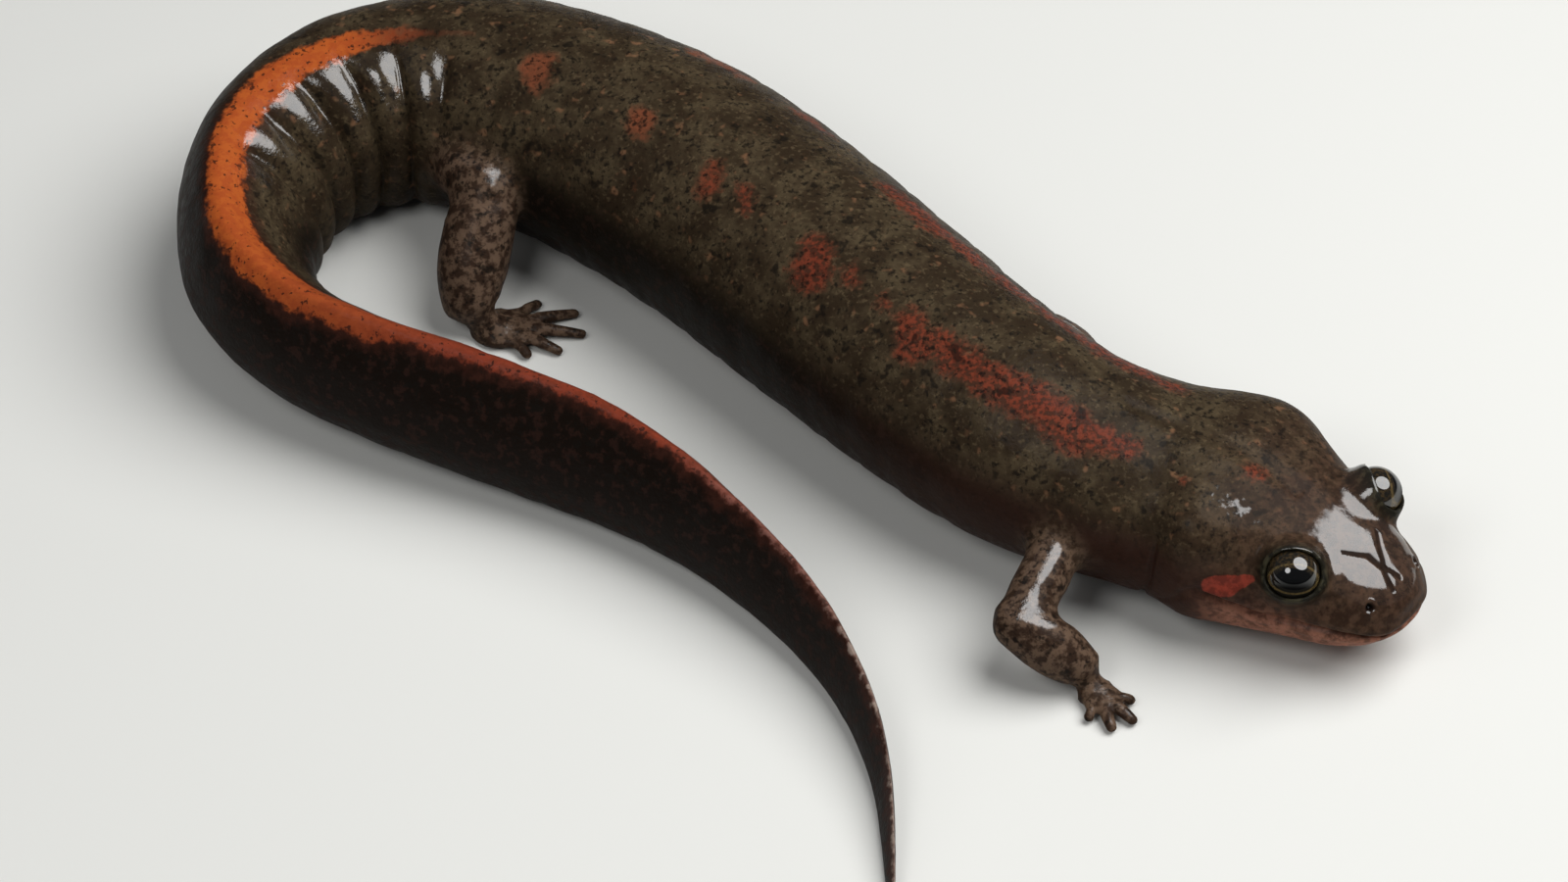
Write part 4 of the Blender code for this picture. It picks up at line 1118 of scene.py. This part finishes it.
    torn = sum_of(tree, product(tree, ragged, 0.5), product(tree, sum_of(tree, other, -0.5), 0.7))
    torn = product(tree, torn, ramp(tree, limb, 0.0, 1.0, 1.0, 0.35))
    torn = product(tree, torn, ramp(tree, face, 0.55, 1.0, 1.0, 0.4))
    wet = ramp(tree, sum_of(tree, amount(tree, "wet"), torn), 0.36, 0.56, 0.03, 1.0)
    furrow = ramp(tree, amount(tree, "crease"), 0.062, 0.105)
    wet = product(tree, wet, furrow)
    tree.links.new(ramp(tree, fine, 0.35, 0.7, 0.42, 0.58), shader.inputs["Roughness"])
    tree.links.new(wet, shader.inputs["Coat Weight"])
    shader.inputs["Specular IOR Level"].default_value = 0.03
    shader.inputs["Coat Roughness"].default_value = 0.08
    shader.inputs["Coat IOR"].default_value = 1.66

    calm = product(tree, face, 0.72)
    height = sum_of(tree, product(tree, grain(tree, 0.16, 3.0, 0.6, 0.4), 0.6),
                    product(tree, grain(tree, 0.45, 2.0, 0.5, 2.3), 0.4))
    height = sum_of(tree, height, product(tree, furrow, 0.8))
    strength = add(tree, "ShaderNodeMath", {0: 0.6, 1: product(tree, calm, 0.55)}, operation="SUBTRACT")
    strength = product(tree, strength.outputs[0], ramp(tree, amount(tree, "wet"), 0.5, 1.0, 1.0, 0.35))
    bump = add(tree, "ShaderNodeBump", {"Strength": strength, "Distance": BUMP_HEIGHT * MM, "Height": height})
    tree.links.new(bump.outputs["Normal"], shader.inputs["Normal"])
    tree.links.new(bump.outputs["Normal"], shader.inputs["Coat Normal"])
    return made


skin.data.materials.clear()
skin.data.materials.append(skin_finish())
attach(skin, "root")
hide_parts(*sorted(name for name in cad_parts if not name.startswith("eye_")))


# The eyeballs: glass globes set in the sockets, each with a level oval pupil, a thin gold ring round
# it, a dark brown iris with gold flecks above, and a clear wet surface.

PUPIL_LONG = 0.72
PUPIL_TALL = 0.44
PUPIL_DROP = 0.16
RING_GAP = 0.14
RING_WIDTH = 0.05
MAP_SPAN = 4.0


def eye_finish():
    """Rings round an oval on the eye's own plane, whose map is MAP_SPAN millimetres across."""
    made = bpy.data.materials.new("eye")
    made.use_nodes = True
    tree = made.node_tree
    shader = tree.nodes["Principled BSDF"]
    plane = add(tree, "ShaderNodeUVMap", uv_map="eye_plane").outputs[0]
    split = add(tree, "ShaderNodeSeparateXYZ", {0: plane})
    x = product(tree, sum_of(tree, split.outputs[0], -0.5), MAP_SPAN)
    y = sum_of(tree, product(tree, sum_of(tree, split.outputs[1], -0.5), MAP_SPAN), PUPIL_DROP)
    oval_x = product(tree, x, 1.0 / PUPIL_LONG)
    oval_y = product(tree, y, 1.0 / PUPIL_TALL)
    oval = add(tree, "ShaderNodeVectorMath", operation="LENGTH")
    tree.links.new(add(tree, "ShaderNodeCombineXYZ", {0: oval_x, 1: oval_y}).outputs[0], oval.inputs[0])
    out = oval.outputs["Value"]
    fine = grain(tree, 0.12, 3.0, 0.6, 0.2)
    above = ramp(tree, y, 0.15, 0.6)
    gold = blend(tree, fine, (0.020, 0.013, 0.006), (0.062, 0.038, 0.015))
    iris = blend(tree, product(tree, above, ramp(tree, fine, 0.45, 0.62)), (0.008, 0.007, 0.005), gold)
    ring_in = 1.0 + RING_GAP / PUPIL_TALL
    ring_out = ring_in + RING_WIDTH / PUPIL_TALL
    inner_edge = ramp(tree, out, ring_in - 0.06, ring_in + 0.02)
    ring = product(tree, inner_edge, ramp(tree, out, ring_out + 0.08, ring_out))
    ring = product(tree, ring, ramp(tree, fine, 0.3, 0.6, 0.25, 0.8))
    colour = blend(tree, ring, iris, (0.11, 0.075, 0.028))
    colour = blend(tree, ramp(tree, out, 1.0, 1.06), (0.001, 0.001, 0.001), colour)
    tree.links.new(colour, shader.inputs["Base Color"])
    shader.inputs["Roughness"].default_value = 0.4
    shader.inputs["Specular IOR Level"].default_value = 0.0
    tree.links.new(ramp(tree, y, -0.4, 0.1, 0.03, 1.0), shader.inputs["Coat Weight"])
    shader.inputs["Coat Roughness"].default_value = 0.02
    shader.inputs["Coat IOR"].default_value = 1.8
    return made


eye_surface = eye_finish()
for side, letter in ((1, "left"), (-1, "right")):
    ball = globe("eyeball_" + letter, eyes[side], EYE_RADIUS, 0.0, {}, rings=64, around=96)
    middle, ahead, upward, axis = eyes[side]
    points = np.empty(len(ball.data.vertices) * 3, np.float32)
    ball.data.vertices.foreach_get("co", points)
    points = points.reshape(-1, 3) / MM - middle
    corners = np.empty(len(ball.data.loops), np.int32)
    ball.data.loops.foreach_get("vertex_index", corners)
    plane = np.stack([points @ ahead, points @ upward], axis=1)[corners] / MAP_SPAN + 0.5
    ball.data.uv_layers.new(name="eye_plane").data.foreach_set("uv", plane.astype(np.float32).ravel())
    ball.data.materials.append(eye_surface)
    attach(ball, "root")
    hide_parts("eye_" + letter)


# The room: a plain pale floor under the model, one soft round lamp high on the right, two weaker ones on
# the left, of which the larger isn't mirrored in the film of water, and an even dim light from all round.
# The camera looks down at half a right angle.

def flat_sheet(name, half, height):
    """A square of one face."""
    mesh = bpy.data.meshes.new(name)
    corners = [(-half, -half, height), (half, -half, height), (half, half, height), (-half, half, height)]
    mesh.from_pydata(corners, [], [(0, 1, 2, 3)])
    made = bpy.data.objects.new(name, mesh)
    bpy.context.scene.collection.objects.link(made)
    return made


FLOOR_HALF = 1500.0
floor = flat_sheet("floor", FLOOR_HALF * MM, 0.0)
paper = bpy.data.materials.new("paper")
paper.use_nodes = True
surface = paper.node_tree.nodes["Principled BSDF"].inputs
surface["Base Color"].default_value = (0.70, 0.70, 0.67, 1.0)
surface["Roughness"].default_value = 0.9
surface["Specular IOR Level"].default_value = 0.1
floor.data.materials.append(paper)


def lamp(name, direction, distance, size, power):
    """A round area light that looks at the model from a direction and a distance in millimetres."""
    way = Vector(direction).normalized()
    data = bpy.data.lights.new(name, "AREA")
    data.shape = "DISK"
    data.size = size * MM
    data.energy = power
    made = bpy.data.objects.new(name, data)
    made.location = way * distance * MM
    made.rotation_euler = (-way).to_track_quat("-Z", "Y").to_euler()
    bpy.context.scene.collection.objects.link(made)
    return made


lamp("key", (0.5, 0.02, 0.866), 200.0, 200.0, 0.52)
lamp("front", (-0.35, -0.5, 0.8), 200.0, 80.0, 0.09)
lamp("fill", (-0.75, -0.35, 0.6), 500.0, 400.0, 0.22).visible_glossy = False
world = bpy.data.worlds.new("room")
world.use_nodes = True
world.node_tree.nodes["Background"].inputs["Color"].default_value = (0.9, 0.93, 1.0, 1.0)
world.node_tree.nodes["Background"].inputs["Strength"].default_value = 0.07
bpy.context.scene.world = world
bpy.context.scene.view_settings.view_transform = "Standard"

AIM = np.array([*-ORIGIN, 4.0])
CAMERA_DISTANCE = 300.0
CAMERA_RISE = math.radians(45.0)
view = bpy.data.cameras.new("view")
view.sensor_width = 36.0
view.lens = 165.4
view.clip_start = 0.01
camera = bpy.data.objects.new("camera", view)
from_aim = CAMERA_DISTANCE * np.array([0.0, -math.cos(CAMERA_RISE), math.sin(CAMERA_RISE)])
camera.location = Vector((AIM + from_aim) * MM)
camera.rotation_euler = (math.pi / 2.0 - CAMERA_RISE, 0.0, 0.0)
bpy.context.scene.collection.objects.link(camera)
bpy.context.scene.camera = camera
